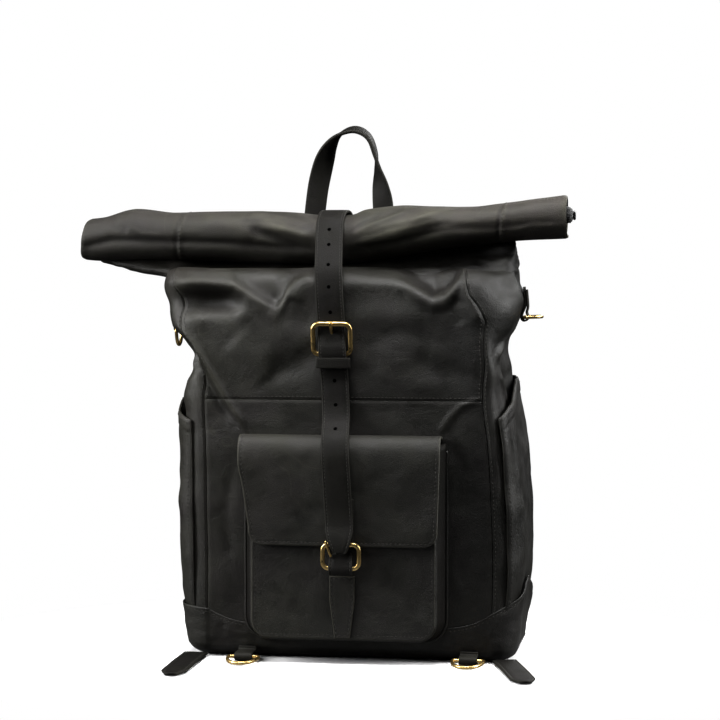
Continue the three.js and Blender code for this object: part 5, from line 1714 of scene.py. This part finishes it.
# ------------------------------------------------------------------ inside
def lining():
    """Lining sack, kept clear of the drawn-in walls."""
    walls = round_bag(60, 46)

    def clearance(where, along, z):
        if where == "right":
            return trim("right", z) * np.sin(np.pi * along) ** 0.4
        if where == "left":
            waist = 4 * math.exp(-((z - 320) / 14.0) ** 2)
            return (max(0.0, trim("left", z)) * np.sin(np.pi * along) ** 0.4 + waist
                    + 13 * np.exp(-(along / 0.3) ** 2) * smooth(325, 350, z))
        if where == "front":
            return (9.0 * smooth(300, 360, z)
                    + 11 * np.exp(-((along + 0.95) / 0.35) ** 2) * smooth(325, 350, z))
        return 0.0

    def ring(z, inset):
        place = np.vstack([wall_at(where, along, max(z, 12), inset + clearance(where, along, z))
                           for where, along in walls])
        place[:, 2] = z
        soft = 0.5 * fbm(place[:, 0] / 30, place[:, 1] / 30, z / 30.0, 3)
        return place - ring_normals(place) * soft[:, None]

    def towards_centre(rim, z, shares):
        centre = np.array([-3, 0, z])
        return [centre + (rim - centre) * share for share in shares]

    heights = [16] + list(np.linspace(30, 360, int(50 * DENSITY))) + [366]
    rings = [ring(z, 6.6) for z in heights] + [ring(z, 7.9) for z in heights[::-1]]
    floor_rim = ring(9.8, 15)
    rings.append(floor_rim)
    rings += towards_centre(floor_rim, 9.8, (0.5, 0.03))
    rings += towards_centre(ring(8.4, 14), 8.4, (0.03, 0.5, 1.0))
    loft("lining_sack", rings, M_LINING, closed=True, **BAG_LINING, replaces="lining_bag")


def level_ring(left, right, front, back, radius, z, steps=6):
    ring = round_corners((left + right) / 2, (front + back) / 2, (right - left) / 2 - radius,
                         (back - front) / 2 - radius, radius, steps)
    return np.column_stack([ring, np.full(len(ring), z)])


def base_board():
    # height, how far the rim is drawn in
    rings = [level_ring(-154 + inset, 160 - inset, -64 + inset, 64 - inset, 30, z)
             for z, inset in ((4.2, 0.5), (4.7, 0), (6.7, 0), (7.2, 0.5))]
    loft("base_board_panel", rings, M_BOARD, body="bag", slot="board",
         replaces="base_stiffener")


def sleeve():
    rings = [level_ring(-134, 128, 53, 59, 2, 20, 3)]
    rings += [level_ring(-135, 129, 52 + 0.6 * math.sin(z / 17), 60, 3, z, 3)
              for z in np.linspace(22, 248, 40)]
    rings += [level_ring(-134, 128, 53, 59, 2, 250, 3)]
    loft("sleeve_pad", rings, M_LINING, **BAG_LINING, replaces="laptop_sleeve")


lining()
base_board()
sleeve()

# ------------------------------------------------------------------ floor, light, camera
# From here on lengths are in metres.
scene = bpy.context.scene


def studio_world():
    """White to the camera, dim to everything else."""
    world = bpy.data.worlds.new("studio")
    scene.world = world
    nodes = Nodes(world)
    seen = nodes.add("LightPath").outputs["Is Camera Ray"]
    colour = nodes.mix(seen, (0.042, 0.043, 0.046), (1, 1, 1))
    nodes.fill(nodes.tree.nodes["Background"], {"Color": colour, "Strength": 1.0})


def floor():
    """Pale floor that fades into the white background away from the bag."""
    level = -0.0006
    mesh = bpy.data.meshes.new("floor")
    mesh.from_pydata([(-4, -3, level), (4, -3, level), (4, 5, level), (-4, 5, level)], [],
                     [(0, 1, 2, 3)])
    obj = bpy.data.objects.new("floor", mesh)
    scene.collection.objects.link(obj)
    mat = Nodes(bpy.data.materials.new("pale_floor"))
    mat.coords = mat.add("TexCoord").outputs["Object"]
    pale = mat.ramp(mat.noise(scale=3.0, detail=3), (0.3, (0.90,) * 3), (0.7, (0.93,) * 3))
    # pale to the camera, dark in what it bounces onto the bag
    seen = mat.add("LightPath").outputs["Is Camera Ray"]
    mat.principled({"Base Color": mat.mix(seen, (0.16, 0.16, 0.16), pale), "Roughness": 0.75})
    seen = mat.add("LightPath").outputs["Is Camera Ray"]
    glow = mat.add("Emission", {"Color": (1, 1, 1), "Strength": mat.map_range(
        seen, source=(0.0, 1.0), target=(0.03, 1.0))})
    spread = mat.add("Mapping", {"Location": (0.0, 0.03, 0), "Scale": (1.0, 1.15, 1),
                                 "Vector": mat.coords}).outputs["Vector"]
    distance = mat.add("VectorMath", {0: spread}, operation="LENGTH").outputs["Value"]
    surface = mat.add("MixShader", {
        0: mat.mask(distance, 0.20, 0.46),
        1: mat.tree.nodes["Principled BSDF"].outputs["BSDF"],
        2: glow.outputs["Emission"]})
    mat.fill(mat.tree.nodes["Material Output"], {"Surface": surface.outputs["Shader"]})
    mesh.materials.append(mat.owner)


def aim(obj, location, target):
    obj.location = location
    direction = Vector(target) - Vector(obj.location)
    obj.rotation_euler = direction.to_track_quat("-Z", "Y").to_euler()
    scene.collection.objects.link(obj)


def softbox(name, location, target, width, height, power):
    light = bpy.data.lights.new(name, "AREA")
    light.shape = "RECTANGLE"
    light.size, light.size_y, light.energy = width, height, power
    aim(bpy.data.objects.new(name, light), location, target)


def camera():
    data = bpy.data.cameras.new("camera")
    data.sensor_width = 36
    data.lens = 112.15
    obj = bpy.data.objects.new("camera", data)
    aim(obj, location=(0.3754, -2.3705, 0.420), target=(0.003, 0, 0.309))
    scene.camera = obj


studio_world()
floor()
softbox("softbox_left", location=(-2.0, -0.7, 1.2), target=(-0.1, 0, 0.28),
        width=1.0, height=1.5, power=88)
softbox("softbox_right", location=(2.1, 0.05, 1.4), target=(0.1, 0, 0.25),
        width=1.0, height=1.5, power=104)
softbox("softbox_top", location=(0.05, -0.6, 2.2), target=(0, 0, 0.3),
        width=1.1, height=0.8, power=78)
softbox("softbox_rear", location=(0.9, 2.6, 1.7), target=(0, 0, 0.3),
        width=1.2, height=0.9, power=40)
softbox("softbox_front", location=(-1.8, -2.2, 1.7), target=(-0.08, 0, 0.32),
        width=1.0, height=0.9, power=17)
camera()
scene.view_settings.view_transform = "Standard"
scene.view_settings.gamma = 0.84
